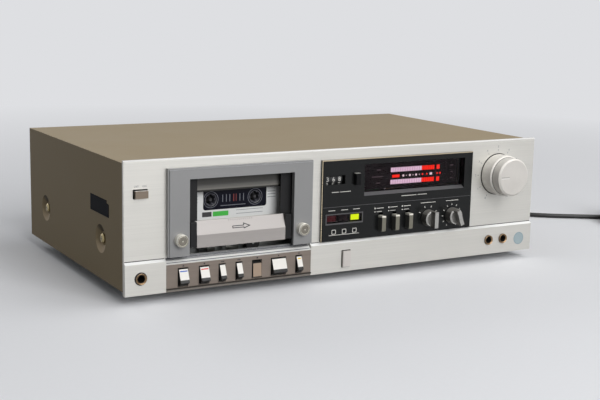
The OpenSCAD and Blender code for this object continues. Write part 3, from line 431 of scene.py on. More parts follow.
def second_tone(material, tone, rough=None, metal=None, looks=(), past=(), before=(), mask=1):
    """Gives a part of a piece another colour, and another roughness and metal if given. looks picks faces by
    (axis, sign, limit), past and before pick places by (axis, millimetres), and mask is any other one to keep to."""
    tree = material.node_tree
    for axis, sign, limit in looks:
        way = maths(tree, "MULTIPLY", own(material, "Normal", axis), sign)
        mask = maths(tree, "MULTIPLY", mask, maths(tree, "GREATER_THAN", way, limit))
    for side, places in (("GREATER_THAN", past), ("LESS_THAN", before)):
        for axis, place in places:
            limit = at(place, place, place)["XYZ".index(axis)]
            mask = maths(tree, "MULTIPLY", mask, maths(tree, side, own(material, "Object", axis), limit))
    for name, value in (("Base Color", paint(*tone)), ("Roughness", rough), ("Metallic", metal)):
        if value is None:
            continue
        socket = tree.nodes["Principled BSDF"].inputs[name]
        old = socket.links[0].from_socket if socket.is_linked else socket.default_value
        if name == "Base Color":
            tree.links.new(tinted(tree, mask, old, value), socket)
        else:
            tree.links.new(add(tree, "Mix", {0: mask, 2: old, 3: value}).outputs[0], socket)


print("masks ready")

# %% [markdown]
# CAD edges are perfectly sharp, which no sheet or moulding is, so a small Bevel modifier rounds them and a Weighted
# Normal modifier keeps the flats flat. The solid itself is left as it came.

# %% Dressing helper
def dress(look, *names, soft=0):
    """Gives CAD solids a finish, and rounds their sharp edges by a small width in millimetres if given."""
    for name in names:
        solid = nodes[name]
        solid.data.materials.clear()
        solid.data.materials.append(look)
        if soft:
            bevel = solid.modifiers.new("soft_edge", "BEVEL")
            bevel.width, bevel.segments = soft * MM, 2
            bevel.limit_method, bevel.angle_limit = "ANGLE", math.radians(50)
            bevel.use_clamp_overlap = True
            solid.modifiers.new("flat_faces", "WEIGHTED_NORMAL").keep_sharp = False


print("dressing helper ready")

# %% [markdown]
# The case is a folded steel cover with a champagne metallic paint, a zinc-plated pan under it, and a dark back
# plate. Each screw of the cover sits in a pressed dish. A dish shows more light where it looks up and more shade
# where it looks down than soft light alone gives, so below the middle of the side the paint carries a painted
# highlight on the slopes that look up and painted shade on those that look down.

# %% Case
champagne = finish("champagne_paint", (159, 143, 115), 0.5, gloss=0.06, shade=0.03, swing=0.05, relief=0.006,
                   grain=1900, cloud=5, dust=0.04, wear=((204, 192, 170), 0.7, 0.35))
DISHES_TO = 60
# painted light on the dishes: a painted highlight on slopes that look up, painted shade on slopes that look down
for least, most, tone in ((0.05, 0.3, (196, 177, 148)), (-0.26, -0.4, (84, 74, 57))):
    slope = ranged(champagne.node_tree, own(champagne, "Normal", "Z"), least, most)
    second_tone(champagne, tone, before=[("Z", DISHES_TO)], mask=slope)
dark_mould = finish("dark_moulding", (34, 34, 36), 0.5, grain=1600, relief=0.02)
socket_mould = finish("socket_moulding", (36, 36, 38), 0.5, shade=0.1, grain=1500, relief=0.015)
SLEEVES_FROM = 253.2
second_tone(socket_mould, (206, 203, 196), 0.26, 0.9, past=[("Y", SLEEVES_FROM)])
dress(champagne, "top_cover", soft=0.5)
dress(finish("zinc_plate", (170, 172, 170), 0.38, metal=0.9, swing=0.1, grain=260, cloud=40),
      "base_pan", "mechanism_plate", "head_carriage", "pivot_pins")
dress(finish("back_plate_paint", (58, 56, 54), 0.5, shade=0.08, grain=1500, relief=0.02, dust=0.1), "rear_panel")
dress(finish("yellow_zinc", (164, 150, 112), 0.3, metal=0.95, cloud=120), "case_screws", soft=0.3)
dress(socket_mould, "line_sockets", soft=0.3)
dress(dark_mould, "counter_frame", "panel_controls", "supply_spindle", "takeup_spindle")
dress(finish("foot_moulding", (40, 39, 38), 0.55, grain=1200, relief=0.03, dust=0.2), "feet", soft=0.3)
print("case dressed")

# %% [markdown]
# The fascia is brushed aluminium. The belt runs along the deck, so its streaks are long in X and very fine in Z.
# The streaks could be an anisotropic shader, but the export drops anisotropy, so they are noise stretched along X
# that drives colour, roughness and relief together. The faces that look up carry a painted highlight, along the
# fascia's top edge and on the chamfer along the lower strip. The key bezel is anodised a warm grey, with a painted
# highlight on its faces that look up and painted shade along the lip at its foot, where it reads as a dark groove,
# and the strip under that lip is painted darker as its painted shadow.

# %% Fascia
BRUSHED = dict(swing=0.08, relief=0.006, streak=(9, 500, 1100))
brushed, strip_metal = (
    finish(name, (208, 206, 200), 0.4, metal=0.55, shade=0.035, wear=((244, 243, 240), 0.5, 0.4), **BRUSHED)
    for name in ("brushed_aluminium", "brushed_strip"))
# painted highlight: the fascia's faces that look up, so its top edge shows as a bright line
second_tone(brushed, (198, 197, 194), 0.34, 0.3, looks=[("Z", 1, 0.35)])
# painted highlight on the strip's chamfer and its other faces that look up
second_tone(strip_metal, (220, 220, 218), 0.38, 0.12, looks=[("Z", 1, 0.35)])
bezel_metal = finish("warm_grey_anodising", (129, 118, 109), 0.42, metal=0.45, shade=0.06,
                     wear=((190, 182, 172), 0.4, 0.4), **BRUSHED)
# painted highlight on the bezel's faces that look up
second_tone(bezel_metal, (204, 196, 186), looks=[("Z", 1, 0.5)])
BEZEL_X0, BEZEL_X1, BEZEL_FOOT, LIP_SHADE_TOP = -178.8, -39.8, 1.95, 3.05
# painted shade: the bezel's lip, up to this height, is painted dark as a line of shade along its foot
second_tone(bezel_metal, (44, 38, 32), before=[("Z", LIP_SHADE_TOP)])
# painted shadow: the strip under the bezel's lip, between the bezel's ends, is painted darker
second_tone(strip_metal, (126, 120, 113), past=[("X", BEZEL_X0)], before=[("X", BEZEL_X1), ("Z", BEZEL_FOOT)])
dress(brushed, "upper_fascia", soft=0.3)
dress(strip_metal, "lower_fascia", soft=0.3)
dress(bezel_metal, "key_bezel", soft=0.3)
print("fascia dressed")

# %% [markdown]
# The cassette door is a die-cast frame in satin grey, screwed to a dark moulded holder by two turned thumb screws.
# Inside it the lower bar is satin silver, bright on its upper slope as a painted highlight, and the strip above the
# cassette is grey, though both are one solid, so the finish changes colour by height: a band under the strip is
# painted dark as painted shade, and the strip, rounded over at the top, gets darker upward in steps as the painted
# shadow of the door frame.

# %% Door
door_grey = finish("satin_door_grey", (139, 139, 139), 0.4, metal=0.3, shade=0.04, relief=0.006, grain=1500,
                   cloud=7, wear=((206, 208, 212), 0.5, 0.5))
turned = finish("turned_silver", (226, 223, 212), 0.32, metal=0.4, shade=0.03, swing=0.03, streak=(300, 900, 300))
# painted shade: the faces of the thumb screws that look forward are darker than their bright rims
second_tone(turned, (132, 127, 117), 0.27, 0.85, looks=[("Y", -1, 0.9)])
holder_black = finish("holder_moulding", (28, 28, 29), 0.46, gloss=0.2, grain=1300, relief=0.015)
bar_silver = finish("satin_bar_silver", (163, 158, 155), 0.46, metal=0.15, gloss=0.3, shade=0.03,
                    streak=(9, 400, 900), wear=((240, 240, 238), 0.4, 0.4))
BAR_EDGE, BAR_TOP = 46.3, 70
# bands by height: a painted highlight on the bar's upper slope, painted shade under the strip, then steps of painted
# shadow up the strip
for height, tone in ((BAR_EDGE, (180, 175, 172)), (BAR_TOP, (38, 37, 35)), (82.4, (114, 112, 107)),
                     (83.9, (101, 100, 96)), (85.3, (92, 91, 88)), (86.4, (75, 74, 72)), (87.5, (68, 67, 64))):
    second_tone(bar_silver, tone, past=[("Z", height)])
dress(door_grey, "cassette_door", soft=0.35)
dress(turned, "thumb_screws", soft=0.3)
dress(holder_black, "cassette_holder", soft=0.35)
dress(bar_silver, "holder_trim", soft=0.35)
print("door dressed")

# %% [markdown]
# A key is a black lever with a pale cap on the face that looks forward, and the foot of that face stays dark as
# painted shade under the cap. The stop key is pressed in; its cap is painted brown as painted shade, and the top of
# its slot is painted black as the painted shade of the gap.

# %% Keys
KEYS = ("eject_key", "record_key", "rewind_key", "forward_key", "stop_key", "play_key", "pause_key")
CAP_SHADE_TOP, SHADED_GAP_FROM = 9.8, 16.6
MOULDED = dict(streak=(900, 500, 60), gloss=0.3)
key_white = finish("key_white", (30, 29, 28), 0.36, shade=0.025, swing=0.04, relief=0.004, **MOULDED)
# the cap is pale above this height; below it the face stays dark as painted shade under the cap
second_tone(key_white, (230, 227, 221), looks=[("Y", -1, 0.5)], past=[("Z", CAP_SHADE_TOP)])
stop_key_painted_shade = finish("stop_key_painted_shade", (30, 29, 28), 0.36, shade=0.04, **MOULDED)
# the stop key's cap is painted brown as painted shade, and its top black as the painted shade of its slot's gap
second_tone(stop_key_painted_shade, (166, 146, 128), looks=[("Y", -1, 0.5)], before=[("Z", SHADED_GAP_FROM)])
second_tone(stop_key_painted_shade, (9, 9, 9), 0.7, past=[("Z", SHADED_GAP_FROM)])
for key in KEYS:
    dress(stop_key_painted_shade if key == "stop_key" else key_white, key, soft=0.3)
print(len(KEYS), "keys dressed")

# %% [markdown]
# The cassette is a pale shell half in front and a dark one behind, with grey hubs and brown tape. A reel is one
# solid, so the distance from its own axis tells the hub from the tape.

# %% Cassette
DOOR_X, HUB_X, HUB_Z, HUB_R = -109.3, 21.25, 72, 11.05
SIDES, HANDS = (-1, 1), (("left", -1), ("right", 1))
dress(finish("pale_shell", (206, 206, 200), 0.38, shade=0.03, grain=1400), "cassette_front")
dress(finish("dark_shell", (44, 44, 47), 0.42, shade=0.08, grain=1400), "cassette_back")
for reel, side in zip(("supply_reel", "takeup_reel"), SIDES):
    wound_tape = finish(reel + "_tape", (66, 46, 36), 0.3, shade=0.15, cloud=200)
    tree = wound_tape.node_tree
    offset = add(tree, "VectorMath", {0: add(tree, "TexCoord").outputs["Object"],
                                      1: at(DOOR_X + side * HUB_X, 0, HUB_Z)}, operation="SUBTRACT").outputs[0]
    off_axis = add(tree, "VectorMath", {0: offset, 1: (1, 0, 1)}, operation="MULTIPLY").outputs[0]
    radius = add(tree, "VectorMath", {0: off_axis}, operation="LENGTH").outputs["Value"]
    second_tone(wound_tape, (84, 84, 92), 0.4, mask=maths(tree, "LESS_THAN", radius, HUB_R * MM))
    dress(wound_tape, reel)
print("cassette dressed")

# %% [markdown]
# The display panel is gloss black with smoked windows. A smoked window could be a half-transparent sheet, but glass
# with a dark tint also gives the reflection that makes it read as a window. The rest of the controls are satin
# silver: levers, dials whose flank that looks left is painted darker as painted shade, push buttons, and the two-part
# level knob.

# %% Display panel
BELT, LATHE = (9, 500, 900), (900, 60, 900)
gloss_black = finish("gloss_black", (17, 18, 18), 0.24, swing=0.05, relief=0.003, cloud=9,
                     gloss=0.25, wear=((70, 70, 72), 0.3, 0.5))
smoked = finish("smoked_window", (176, 160, 166), 0.05, shade=0.04, swing=0.02, relief=0.001, grain=300)
for socket, value in (("Transmission Weight", 1), ("IOR", 1.2)):
    smoked.node_tree.nodes["Principled BSDF"].inputs[socket].default_value = value
reset_black = finish("reset_black", (18, 18, 19), 0.4, shade=0.1, grain=1200, gloss=0.1)
# painted highlight on the reset lever's faces that look up
second_tone(reset_black, (196, 194, 188), looks=[("Z", 1, 0.4)])
dress(gloss_black, "display_panel", soft=0.25)
dress(smoked, "display_windows")
dress(finish("tube_face", (34, 22, 27), 0.45, shade=0.2, grain=500, cloud=30, gloss=0.1), "display_lamps")
dress(finish("wheel_black", (24, 24, 25), 0.5, shade=0.1, grain=1200), "counter_hundreds", "counter_tens",
      "counter_units")
dress(reset_black, "counter_reset", soft=0.4)
print("display dressed")

# %% Dials, knob and buttons
dial_silver = finish("dial_silver", (134, 131, 126), 0.34, metal=0.45, streak=LATHE,
                     wear=((226, 224, 220), 0.6, 0.9))
# painted shade on the dial's faces that look left
second_tone(dial_silver, (84, 82, 79), looks=[("X", -1, 0.85)])
second_tone(dial_silver, (176, 174, 170), 0.26, 0.8, looks=[("Y", -1, 0.6)])
knob_satin = finish("knob_satin", (212, 208, 202), 0.38, metal=0.35, shade=0.04, relief=0.006,
                    streak=(60, 900, 60), wear=((240, 238, 232), 0.6, 0.6))
second_tone(knob_satin, (230, 226, 219), 0.46, 0.12, looks=[("Y", 1, -0.9)])  # all but the front
button_satin = finish("button_satin", (128, 115, 101), 0.32, metal=0.4, shade=0.04, streak=BELT,
                      wear=((226, 219, 208), 0.4, 0.6))
# painted highlight on the power button's top
second_tone(button_satin, (236, 231, 224), looks=[("Z", 1, 0.4)])
dress(dial_silver, "selector_dial", "output_dial", soft=0.25)
dress(knob_satin, "level_knob_front", "level_knob_rear", soft=0.4)
dress(button_satin, "power_button", soft=0.4)
dress(finish("button_pale", (206, 200, 195), 0.36, metal=0.3, shade=0.03, streak=BELT,
             wear=((240, 238, 234), 0.4, 0.6)), "mute_button", soft=0.4)
print("dials, knob and buttons dressed")

# %% [markdown]
# A lever switch is a slim metal blade with a grey front. Its flanks are painted dark as painted shade, and its flat
# top is a painted highlight: a bright cap of its own, drawn from the side and riding on the lever, so it tilts with
# it.

# %% Levers
LEVERS = {"monitor_lever": 33, "filter_lever": 48.1, "timer_lever": 63.2}
CAP_HALF, CAP_WIDE = 2.1, 4.22
CAP_SIDE = [(-8.74, 47.5), (-8.74, 48.45), (-8.35, 48.9), (-1.5, 48.9), (-1.5, 47)]
# painted shade on the lever's flanks; the front is grey
lever_flank_shade = finish("lever_flanks", (66, 66, 63), 0.4, shade=0.1, grain=1200)
second_tone(lever_flank_shade, (124, 121, 109), 0.3, 0.6, looks=[("Y", -1, 0.6)])
# painted highlight on the lever's flat top
lever_top_highlight = finish("lever_top_highlight", (222, 218, 206), 0.3, metal=0.3, shade=0.04, streak=BELT)
dress(lever_flank_shade, *LEVERS, soft=0.25)
for lever, x in LEVERS.items():
    cut_sheet(lever + "_highlight_cap", [[CAP_SIDE]], lambda u, v, n: at(x - CAP_HALF + n, u, v), CAP_WIDE, lever_top_highlight,
              lever)
print(len(LEVERS), "levers dressed and capped")

# %% [markdown]
# The works are hidden behind the fascia, but the door opens and the part is used without its cover too, so each
# piece gets the finish of the real thing: a brass pulley, a turned flywheel, rubber, a green board, iron and steel.

# %% Works and rubber
rubber = finish("black_rubber", (30, 30, 31), 0.6, shade=0.15, grain=1500, relief=0.02, dust=0.06)
plug_black = finish("plug_moulding", (30, 30, 31), 0.45, grain=1200, relief=0.015)
BLADES_FROM = 474.2
second_tone(plug_black, (214, 196, 142), 0.25, 0.95, past=[("X", BLADES_FROM)])
dress(finish("turned_steel", (186, 186, 184), 0.28, metal=0.95, shade=0.08, streak=LATHE), "flywheel", "drive_motor",
      soft=0.3)
dress(finish("brass", (212, 180, 104), 0.28, metal=0.95, shade=0.08, streak=LATHE), "motor_pulley")
dress(rubber, "drive_belt", "pinch_roller")
dress(rubber, "cord_relief", soft=0.3)
dress(finish("board_lacquer", (40, 92, 58), 0.35, shade=0.14, grain=500, cloud=60, dust=0.1), "circuit_board")
dress(finish("transformer_iron", (84, 78, 74), 0.5, metal=0.4, shade=0.15, streak=(60, 60, 1400)), "transformer")
dress(finish("head_chrome", (224, 224, 222), 0.14, metal=1, shade=0.04, grain=400), "tape_heads")
dress(finish("jack_moulding", (36, 33, 30), 0.35, grain=1200), "front_jacks", soft=0.3)
dress(plug_black, "mains_plug", soft=1.6)
mains_lead.data.materials.append(finish("cord_sheath", (28, 28, 29), 0.45, shade=0.15, dust=0.05))
print("works dressed")

# %% [markdown]
# ## The cassette's label
# A compact cassette carries a paper label with a dark printed window round its two hubs. It could be painted on the
# shell, but a label has an edge that catches light, so it is a sheet a tenth of a millimetre thick, with plain bars
# and writing lines on it.

# %% Paper and inks
paper = finish("label_paper", (212, 213, 212), 0.55, shade=0.02, grain=1500, cloud=30)
navy = finish("printed_navy", (13, 14, 25), 0.28, shade=0.1, gloss=0.1)
ink_grey, ink_dark, ink_green, ink_red, ink_white = (
    finish("ink_" + name, tone, 0.5, shade=shade, grain=1500)
    for name, tone, shade in (("grey", (112, 114, 122), 0.06), ("dark", (44, 44, 46), 0.1),
                              ("green", (60, 172, 62), 0.05), ("red", (120, 42, 38), 0.05),
                              ("white", (218, 216, 210), 0.04)))
print("paper and inks ready")

# %% Cassette label
SHELL_Y, SCALE_Z, BARS_Z = 14.65, (69.4, 75.8), (57.4, 61.6)


def on_cassette(u, v, n):
    """A seat on the front face of the cassette, measured from the middle of the door."""
    return at(DOOR_X + u, SHELL_Y - n, v)


label = [oblong(-45, 45, 55.2, 99.4, 2), oblong(-28.6, 32.6, 63, 82.6, 2.4)]
window = [oblong(-28.4, 32.4, 63.2, 82.4, 2.2)] + [disc(side * HUB_X, HUB_Z, 5.6) for side in SIDES]
rings = [[disc(side * HUB_X, HUB_Z, r) for r in (7.1, 6.7)] for side in SIDES]
scale = [[oblong(u - 0.3, u + 0.3, *SCALE_Z)] for u in (-10, -6.5, -3.2, 6.5, 10)]
lines = [[oblong(side * 37.5 - 4, side * 37.5 + 4, z, z + 0.5)] for side in SIDES for z in (70.5, 73, 75.5)]
lines += [[oblong(3, 29, z, z + 0.4)] for z in (58.1, 61.2)]
for name, islands, thick, look in (
        ("cassette_label", [label], 0.12, paper), ("cassette_window", [window], 0.07, navy),
        ("window_print", rings + scale + [[oblong(-12, 12, 66, 66.5)]], 0.1, ink_grey),
        ("window_red_mark", [[oblong(0.2, 1, *SCALE_Z)], [oblong(2.6, 3.2, *SCALE_Z)]], 0.1, ink_red),
        ("label_lines", lines, 0.16, ink_grey),
        ("label_dark_bar", [[oblong(-29.4, -20.5, *BARS_Z, 0.4)]], 0.16, ink_dark),
        ("label_green_bar", [[oblong(-19.3, -4.5, *BARS_Z, 0.4)]], 0.16, ink_green)):
    cut_sheet(name, islands, on_cassette, thick, look, "door")
print("label of", len(lines), "lines and", len(scale), "scale marks")

# %% [markdown]
# The sloping silver bar in front of the cassette has a plain arrow for the way the tape runs and a short scale. They
# are printed, so they are sheets a few hundredths of a millimetre proud, seated on the slope. A dark cheek closes the
# holder at each end of the bar.

# %% Marks on the holder bar
CHEEK_X, CHEEK_WIDE = 42.3, 5.6
CHEEK = [(-3.2, 36), (2, 36), (2, 57.6), (-2.4, 57.6), (-3.2, 56.8)]
ARROW = [(-8.6, 3.2), (2, 3.2), (2, 2.2), (9, 4.6), (2, 7.6), (2, 5.6), (-8.6, 5.6)]
HOLLOW = [(-7.85, 3.95), (2.75, 3.95), (2.75, 3.3), (6.9, 4.65), (2.75, 6.4), (2.75, 4.85), (-7.85, 4.85)]


def sloped(x, y, z, run, rise):
    """A seat on a face that looks forward and up, v going up the slope from a place on the deck."""
    return lambda u, v, n: at(x + u, y + run * v - rise * n, z + rise * v + run * n)


for hand, side in HANDS:
    cut_sheet("holder_cheek_" + hand, [[CHEEK]], lambda u, v, n: at(DOOR_X + side * (CHEEK_X + n), u, v), CHEEK_WIDE,
              holder_black, "door")
ticks = [[oblong(u - 0.12, u + 0.12, 10.2, 11.4)] for u in range(-11, 13, 2)]
on_bar = sloped(DOOR_X, -3.3, BAR_EDGE, 0.363, 0.932)
cut_sheet("tape_arrow", [[ARROW, HOLLOW]] + ticks, on_bar, 0.04, ink_dark, "door")
print("arrow and", len(ticks), "ticks on the bar")

# %% [markdown]
# Three of the seven keys carry a thin coloured line near their upper edge: blue, red and yellow. Each line rides on
# its own key, so it tilts when the key is pressed. A black edge round each slot is painted shade that shows the gap
# in which a key moves, and plain signs for what the keys do are printed on the bezel. The sill above the keys has
# fine grooves along it; the shade in them is painted as dark lines because their depth is less than a pixel, and a
# bright nose between them is a painted highlight.

# %% Key lines and slots
KEY_LINES = {"eject_key": (-54, 3.4, (52, 92, 178)), "record_key": (-34.7, 3.4, (206, 48, 44)),
             "pause_key": (57.2, 1.6, (222, 190, 60))}
for key, (offset, half, tone) in KEY_LINES.items():
    ink = finish(key + "_ink", tone, 0.4, shade=0.05, grain=1500)
    on_key = sloped(DOOR_X + offset, -2.2, 18.4, 0.371, 0.928)
    cut_sheet(key + "_line", [[oblong(-half, half, -2.3, -1.3, 0.2)]], on_key, 0.04, ink, key)
gap_painted_shade = finish("gap_painted_shade", (10, 10, 10), 0.7, shade=0.1, gloss=0.1)
# painted shade: a black edge round each key's opening, wider on the left, stands for the gap in which the key moves
slots = []
for key in KEYS:
    x0, x1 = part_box(key)[0].x / MM - 0.4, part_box(key)[1].x / MM + 0.4
    slots.append([oblong(x0 - 0.7, x1 + 0.15, 3.5, 19.75), oblong(x0, x1, 3.8, 19.2)])
cut_sheet("key_slot_shade", slots, on_strip, 0.03, gap_painted_shade)
print(len(KEY_LINES), "key lines and", len(slots), "slot edges placed")

# %% Key signs
SIGNS_UP = 0.5


def wedge(x, way):
    """A triangle that points left or right."""
    return [(x - 0.8 * way, 20), (x + 0.8 * way, 20.8), (x - 0.8 * way, 21.6)]


eject = [[[(-54.9, 20.5), (-53.1, 20.5), (-54, 21.8)]], [oblong(-54.9, -53.1, 19.8, 20.2)]]
record, stop = [[disc(-34.7, 20.8, 0.75, 16)]], [[oblong(14.9, 16.3, 20.1, 21.5)]]
winding = [[wedge(x, way)] for x, way in ((-18.6, -1), (-17, -1), (-2.6, 1), (-1, 1), (36.9, 1))]
pause = [[oblong(x, x + 0.5, 20, 21.6)] for x in (56.4, 57.5)]
cut_sheet("key_signs", eject + record + winding + stop + pause,
          lambda u, v, n: on_strip(DOOR_X + u, v + SIGNS_UP, n), 0.03, ink_dark)
print("signs over", len(KEYS), "keys")

# %% Sill ribs
SILL = (DOOR_X - 68.6, DOOR_X + 68.6)
GROOVES = ((1.5, 2.1), (4.6, 5), (5.5, 6.05), (6.45, 7.15), (7.4, 8.2), (8.4, 9))
NOSE = (2.4, 4.3)
on_sill = sloped(0, -2, 23.3, 0.824, 0.566)
DRAWN = (9, 300, 900)
groove_painted_shade = finish("groove_painted_shade", (64, 66, 78), 0.5, shade=0.08, streak=DRAWN)
nose_painted_highlight = finish("sill_nose_highlight", (240, 240, 237), 0.34, metal=0.12, shade=0.02, streak=DRAWN)
# painted shade in the sill's grooves, and a painted highlight on the nose between them
cut_sheet("sill_ribs", [[oblong(*SILL, *v)] for v in GROOVES], on_sill, 0.28, groove_painted_shade)
cut_sheet("sill_nose_highlight", [[oblong(*SILL, *NOSE)]], on_sill, 0.34, nose_painted_highlight)
print("sill with", len(GROOVES), "grooves")

# %% [markdown]
# ## Lit bars and lamps
# The meter is a fluorescent tube with a bar for each channel: pale violet up to the mark, red above it, and a row of
# dots between them. The bars are thin islands on the tube's face that give off light. Each bar is cut into segments,
# as the real tube has, and a smoked pane stands in front.

# %% Light
def glow(name, tone, strength, shade=0.12):
    """A finish that gives off its own colour, a little uneven."""
    material = finish(name, tone, 0.4, shade=shade, grain=420, cloud=90, level=0.35)
    tree = material.node_tree
    shader = tree.nodes["Principled BSDF"].inputs
    grain = next(node for node in tree.nodes if node.type == "GROUP").outputs["Shade"]
    colour = paint(*tone)
    uneven = tinted(tree, grain, varied(colour, 1 - shade), varied(colour, 1 + shade))
    tree.links.new(uneven, shader["Emission Color"])
    shader["Emission Strength"].default_value = strength
    return material


glow_violet = glow("glow_violet", (236, 216, 236), 1.75)
glow_red = glow("glow_red", (250, 34, 6), 2.2)
glow_pale = glow("glow_pale", (240, 232, 236), 1.9)
glow_dim = glow("glow_dim", (120, 112, 116), 0.8)
print("lights ready")

# %% Meter bars
TUBE_Y, DOTS_Z = 8, 82.2
CHANNELS = ((86.2, 90.3), (74.8, 78.9))


def segments(x0, x1, z0, z1, count):
    """A bar of light cut into segments."""
    step = (x1 - x0) / count
    return [[oblong(x0 + k * step + 0.12, x0 + (k + 1) * step - 0.12, z0, z1)] for k in range(count)]


violet = [s for z0, z1 in CHANNELS for s in segments(49.6, 84.9, z0, z1, 13)]
red = [s for z0, z1 in CHANNELS for s in segments(84.9, 99.6, z0, z1, 6) + segments(102, 105.8, z0, z1, 1)]
red += [[oblong(51.5, 59.6, 80.9, 83.5)]] + [[disc(x, DOTS_Z, 0.9, 12)] for x in (86, 91, 103, 106.4)]
dots = [[disc(x, DOTS_Z, r, 12)]
        for x, r in ((64, 1.1), (67.6, 0.5), (71.5, 1.1), (75, 0.5), (78.6, 1.1), (82.4, 0.5))]
dots += [[oblong(94.2, 97.2, 81.1, 83.3, 0.5)]]
small = [[oblong(x, x + w, z, z + 0.8)] for x, w, z in ((34, 4.5, 88.6), (29, 12, 82.3), (34, 4.5, 76.4),
                                                       (118.4, 3.4, 88.6), (118.9, 2.4, 82.3), (118.4, 3.4, 76.4))]
for name, islands, look in (("meter_violet", violet, glow_violet), ("meter_red", red, glow_red),
                            ("meter_dots", dots, glow_pale), ("meter_ticks", small, glow_dim)):
    cut_sheet(name, islands, front_at(TUBE_Y), 0.05, look)
print("meter of", len(violet) + len(red), "lit islands")

# %% [markdown]
# Left of the levers a narrow window holds three lamps: a dim red one, a dark one, and the lit yellow-green one. Their
# lenses are ribbed sheets on the front of the CAD lamp blocks.

# %% Indicator lamps
RIBS, RIB_PITCH, RIB_WIDE, LENS_HALF = 8, 1.1, 1.04, 4.4
for name, x, look in (("lamp_red", -18.5, glow("lamp_red_dim", (120, 26, 36), 0.35)),
                      ("lamp_dark", -6.1, finish("lamp_off", (60, 56, 54), 0.35, shade=0.1, grain=700)),
                      ("lamp_green", 6.3, glow("lamp_yellow_green", (206, 250, 4), 2.4, 0.05))):
    starts = [x - LENS_HALF + RIB_PITCH * k for k in range(RIBS)]
    cut_sheet(name, [[oblong(x0, x0 + RIB_WIDE, 46.6, 51.6)] for x0 in starts], on_fascia, 0.15, look)
print("three lamps placed")

# %% [markdown]
# ## Counter, rim and printed marks
# Each counter wheel has its ten digits wrapped round it and rides on its own body, so it counts when the tape runs.
# The digits that face the window are set by turning the list, not the wheel.

# %% Counter digits
WHEEL_R, WHEEL_Y, WHEEL_Z = 8.5, 9.5, 84.45
COUNTER = (("counter_hundreds", -22.6, 3), ("counter_tens", -16.4, 6), ("counter_units", -10.2, 8))


def on_wheel(x, away):
    """A seat on a counter wheel. v runs round the rim from the digit that is that many places from the front."""
    def seat(u, v, n):
        angle = v / WHEEL_R + math.radians(36 * away)
        return at(x + u, WHEEL_Y - (WHEEL_R + n) * math.cos(angle), WHEEL_Z + (WHEEL_R + n) * math.sin(angle))
    return seat


for wheel, x, reading in COUNTER:
    digits = [(str(d), 0, 0, 4.3, on_wheel(x, d - reading)) for d in range(10)]
    numerals(wheel + "_digits", digits, 0.06, ink_white, wheel)
print("ten digits on each of", len(COUNTER), "wheels")

# %% [markdown]
# A champagne edge runs along the top and the left of the black panel, a fine line parts its two halves, and a grey
# lip slopes into the meter. Dots and ticks mark the places of the switches and dials.

# %% Panel rim
PANEL_X0, PANEL_X1, PANEL_Z0, PANEL_Z1 = -30.2, 137.3, 29, 102.6
RIM_SIDE, RIM_TOP = PANEL_X0 + 0.7, PANEL_Z1 - 0.9
rim_gold = finish("champagne_rim", (196, 182, 156), 0.3, metal=0.6, shade=0.05, streak=BELT)
lip_grey = finish("grey_lip", (74, 73, 75), 0.4, shade=0.06, streak=DRAWN)
rim = [(PANEL_X0, PANEL_Z0), (RIM_SIDE, PANEL_Z0), (RIM_SIDE, RIM_TOP), (PANEL_X1, RIM_TOP), (PANEL_X1, PANEL_Z1),
       (PANEL_X0, PANEL_Z1)]
divider = oblong(PANEL_X0 + 1.6, PANEL_X1 - 1.6, 59.8, 60.2)
lamp_frame = [oblong(-25.9, 13.7, 44, 53.8), oblong(-24.8, 12.6, 45.3, 52.9)]
cut_sheet("panel_rim", [[rim]], on_strip, 0.25, rim_gold)
cut_sheet("panel_divider", [[divider]], on_panel, 0.03, lip_grey)
cut_sheet("meter_lip", [[oblong(14.6, 127.5, 0, 4.3)]], sloped(0, -2.5, 68.1, 0.803, 0.596), 0.05, lip_grey)
cut_sheet("lamp_window_frame", [lamp_frame], on_panel, 0.25, lip_grey)
print("panel edged")

# %% Panel marks
SELECTOR, OUTPUT = (86.5, 42.5), (114.5, 42.5)
marks = []
for x in LEVERS.values():
    marks += [[disc(x - 6.2, 55.6, 0.75, 12)], [disc(x - 6.2, 52.4, 0.55, 12)],
              [oblong(x - 4.6, x + 3.4, 55.3, 55.8)], [oblong(x - 4.6, x + 1.4, 52.2, 52.6)]]
marks += [[spoke(*SELECTOR, angle, 9.8, 11.6, 0.6)] for angle in (-60, -20, 20, 60)]
marks += [[spoke(*OUTPUT, angle, 9.8, 11.4, 0.5)] for angle in range(-150, 151, 30)]
marks += [[oblong(x, x + w, 56.6, 57.1)] for x, w in ((78, 17), (107, 15), (-23, 7), (-9.6, 7), (3.2, 7))]
marks += [[oblong(x - 2.2, x + 2.2, 35.2, 39.4, 0.6), oblong(x - 1.7, x + 1.7, 35.7, 38.9, 0.4)]
          for x in (-17, -6, 5)]
marks += [[oblong(-22, 10, 34.2, 34.6)]]
marks += [[oblong(x0, x1, z, z + 0.5)]
          for x0, x1, z in ((-20, -12.6, 73.2), (-11.4, 0, 73.2), (55.5, 72.4, 65), (73.8, 84.4, 65))]
cut_sheet("panel_marks", marks, on_panel, 0.03, ink_white)
print("panel with", len(marks), "plain marks")

# %% [markdown]
# Round the level knob the fascia has a scale of ticks with plain numbers. A black ring on the fascia behind the knob
# is painted shade that shows as a dark line where the knob meets the fascia, and a dark ring on the rear part is the
# painted shade of its parting line. A shallow groove in the knob's front is the pointer, drawn as a dark and a bright
# sheet side by side, a painted shade and a painted highlight, the way a cut line looks in soft light.

# %% Level knob scale
KNOB, NUMBERS_R = (169.9, 78.5), 26.6
PARTING_Y, KNOB_Y = -14.3, -25
angles = range(-150, 151, 30)
# painted shade: a black ring behind the knob where it meets the fascia
cut_sheet("knob_shade_ring", [[disc(*KNOB, 20.2, 64), disc(*KNOB, 8, 32)]], on_fascia, 0.25, gap_painted_shade)
